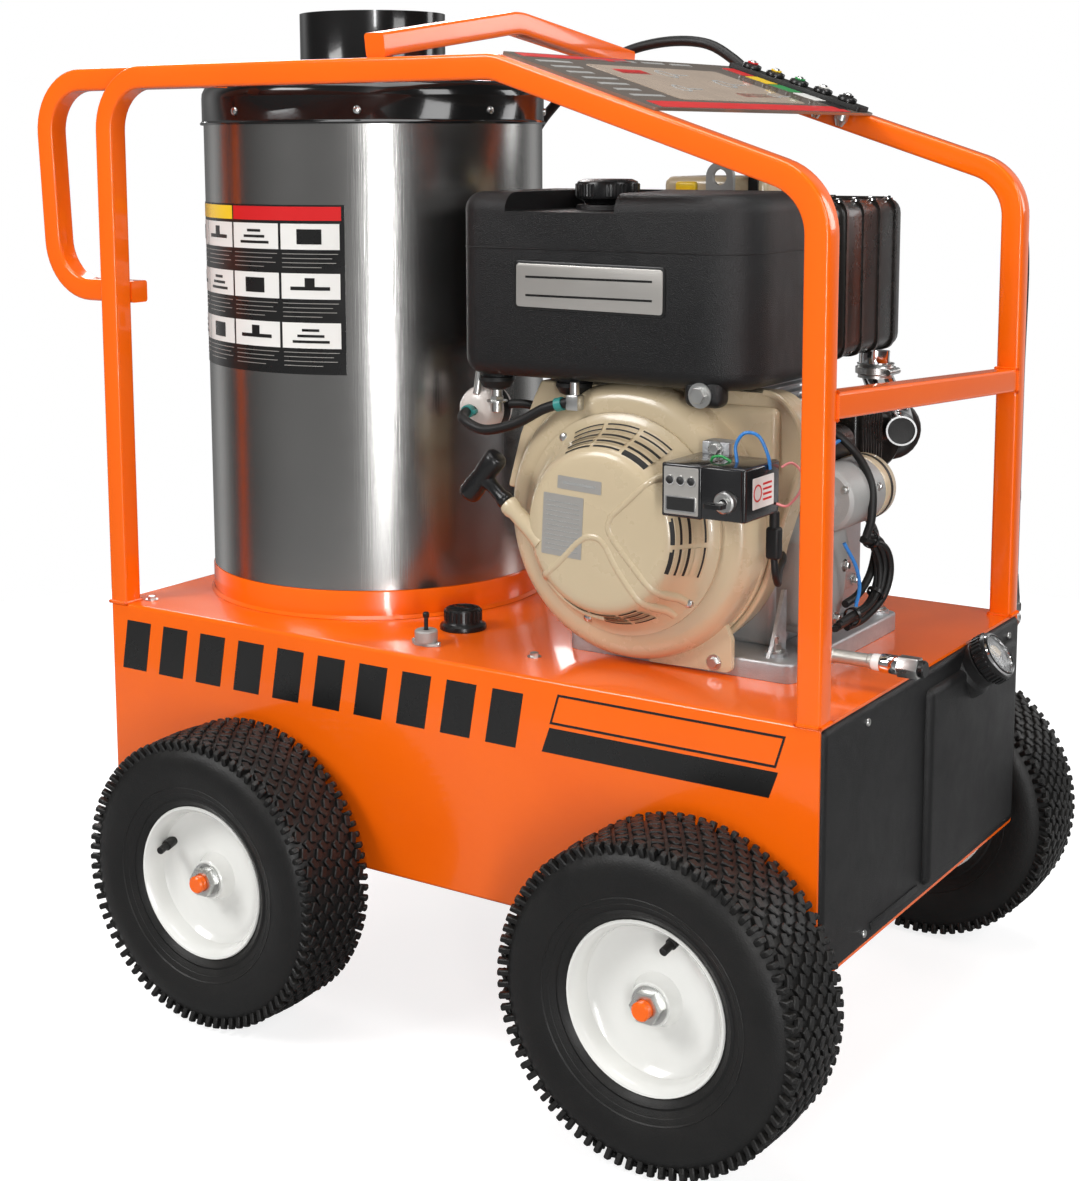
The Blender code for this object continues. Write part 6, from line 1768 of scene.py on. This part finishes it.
# ---- Floor, lights and camera ----------------------------------------------------------------
def make_stage():
    """A pale round floor, dimmer to a reflection than to the eye, so that steel keeps its depth."""
    floor = bmesh.new()
    bmesh.ops.create_circle(floor, cap_ends=True, segments=128, radius=2.1)
    mesh = bpy.data.meshes.new("floor")
    floor.to_mesh(mesh)
    floor.free()
    mesh.transform(Matrix.Translation((0, 0, -0.0005)))
    finish = make_finish("pale_floor", (0.4, 0.4, 0.4), (0.37, 0.37, 0.37), amount=0.3,
        gloss=(0.6, 0.7), grain=60, depth=0.02, dust=0.0, specular=0.1)
    tree = finish.node_tree
    shader = next(item for item in tree.nodes if item.type == "BSDF_PRINCIPLED")
    eye = node(tree, "ShaderNodeLightPath").outputs["Is Camera Ray"]
    shader.inputs["Emission Color"].default_value = (1, 1, 1, 1)
    tree.links.new(maths(tree, "MULTIPLY", eye, 0.8), shader.inputs["Emission Strength"])
    mesh.materials.append(finish)
    obj = bpy.data.objects.new("floor", mesh)
    bpy.context.scene.collection.objects.link(obj)


def make_world():
    """White to the eye. Reflections see a dark hall with soft bright strips standing round it."""
    world = bpy.data.worlds.new("studio")
    bpy.context.scene.world = world
    world.use_nodes = True
    tree = world.node_tree
    back = tree.nodes["Background"]
    coords = node(tree, "ShaderNodeTexCoord").outputs["Generated"]
    parts = node(tree, "ShaderNodeSeparateXYZ", {0: coords}).outputs
    heading = maths(tree, "ARCTAN2", parts[1], parts[0])
    level = 0.045
    for strip, width, strength in ((-50, 5, 3.2), (-62, 20, 0.28), (-112, 26, 0.3), (84, 9, 0.8),
            (140, 30, 0.22), (172, 8, 0.6)):
        away = maths(tree, "SUBTRACT", heading, radians(strip))
        away = maths(tree, "DIVIDE", maths(tree, "WRAP", away, pi, -pi), radians(width))
        glow = maths(tree, "EXPONENT", maths(tree, "MULTIPLY", maths(tree, "MULTIPLY", away, away), -0.5))
        level = maths(tree, "MULTIPLY_ADD", glow, strength, level)
    height = node(tree, "ShaderNodeMapRange", {"Value": parts[2], "From Min": -0.35, "From Max": 0.75,
        "To Min": 1.0, "To Max": 0.25}).outputs[0]
    level = maths(tree, "MULTIPLY", level, height)
    shade = node(tree, "ShaderNodeCombineColor", {0: level, 1: level, 2: level}).outputs[0]
    eye = node(tree, "ShaderNodeLightPath").outputs["Is Camera Ray"]
    final = mixed(tree, eye, shade, (1, 1, 1, 1))
    tree.links.new(final, back.inputs["Color"])
    back.inputs["Strength"].default_value = 1.0


def soft_light(name, place, target, width, height, power):
    """An area light that looks from its place at the target and is hidden from the camera."""
    data = bpy.data.lights.new(name, "AREA")
    data.shape = "RECTANGLE"
    data.size = width
    data.size_y = height
    data.energy = power
    obj = bpy.data.objects.new(name, data)
    bpy.context.scene.collection.objects.link(obj)
    obj.matrix_world = facing(place, Vector(place) - Vector(target))
    obj.visible_camera = False


def make_lights():
    soft_light("key_light", (-1.6, -3.0, 2.9), (0, 0, 0.6), 1.5, 1.5, 95)
    soft_light("side_light", (3.3, -0.6, 2.3), (0, 0, 0.6), 1.2, 1.6, 50)
    soft_light("front_strip", (2.3, -2.8, 0.95), (0, 0, 0.7), 0.22, 1.7, 42)
    soft_light("back_light", (-2.6, 2.4, 2.4), (0, 0, 0.6), 1.8, 1.4, 55)
    soft_light("back_right_light", (2.2, 3.0, 1.8), (0, 0, 0.6), 0.8, 1.6, 22)
    soft_light("top_light", (0.2, -0.3, 3.4), (0, 0, 0.5), 2.0, 2.0, 60)


def make_camera():
    data = bpy.data.cameras.new("camera")
    data.sensor_width = 36
    data.lens = 58.185
    data.shift_x = 0.0104
    data.shift_y = -0.1513
    obj = bpy.data.objects.new("camera", data)
    bpy.context.scene.collection.objects.link(obj)
    yaw = radians(33.72)
    pitch = radians(8.01)
    roll = radians(-0.21)
    ahead = Vector((-sin(yaw) * cos(pitch), cos(yaw) * cos(pitch), -sin(pitch)))
    across = Vector((cos(yaw), sin(yaw), 0))
    up = across.cross(ahead)
    right = cos(roll) * across + sin(roll) * up
    top = cos(roll) * up - sin(roll) * across
    matrix = Matrix((right, top, -ahead)).transposed().to_4x4()
    matrix.translation = Vector((1.1867 + SHIFT, -1.8389, 0.9658))
    obj.matrix_world = matrix
    bpy.context.scene.camera = obj


make_stage()
make_world()
make_lights()
make_camera()
bpy.context.scene.view_settings.view_transform = "Standard"
bpy.context.scene.view_settings.look = "None"
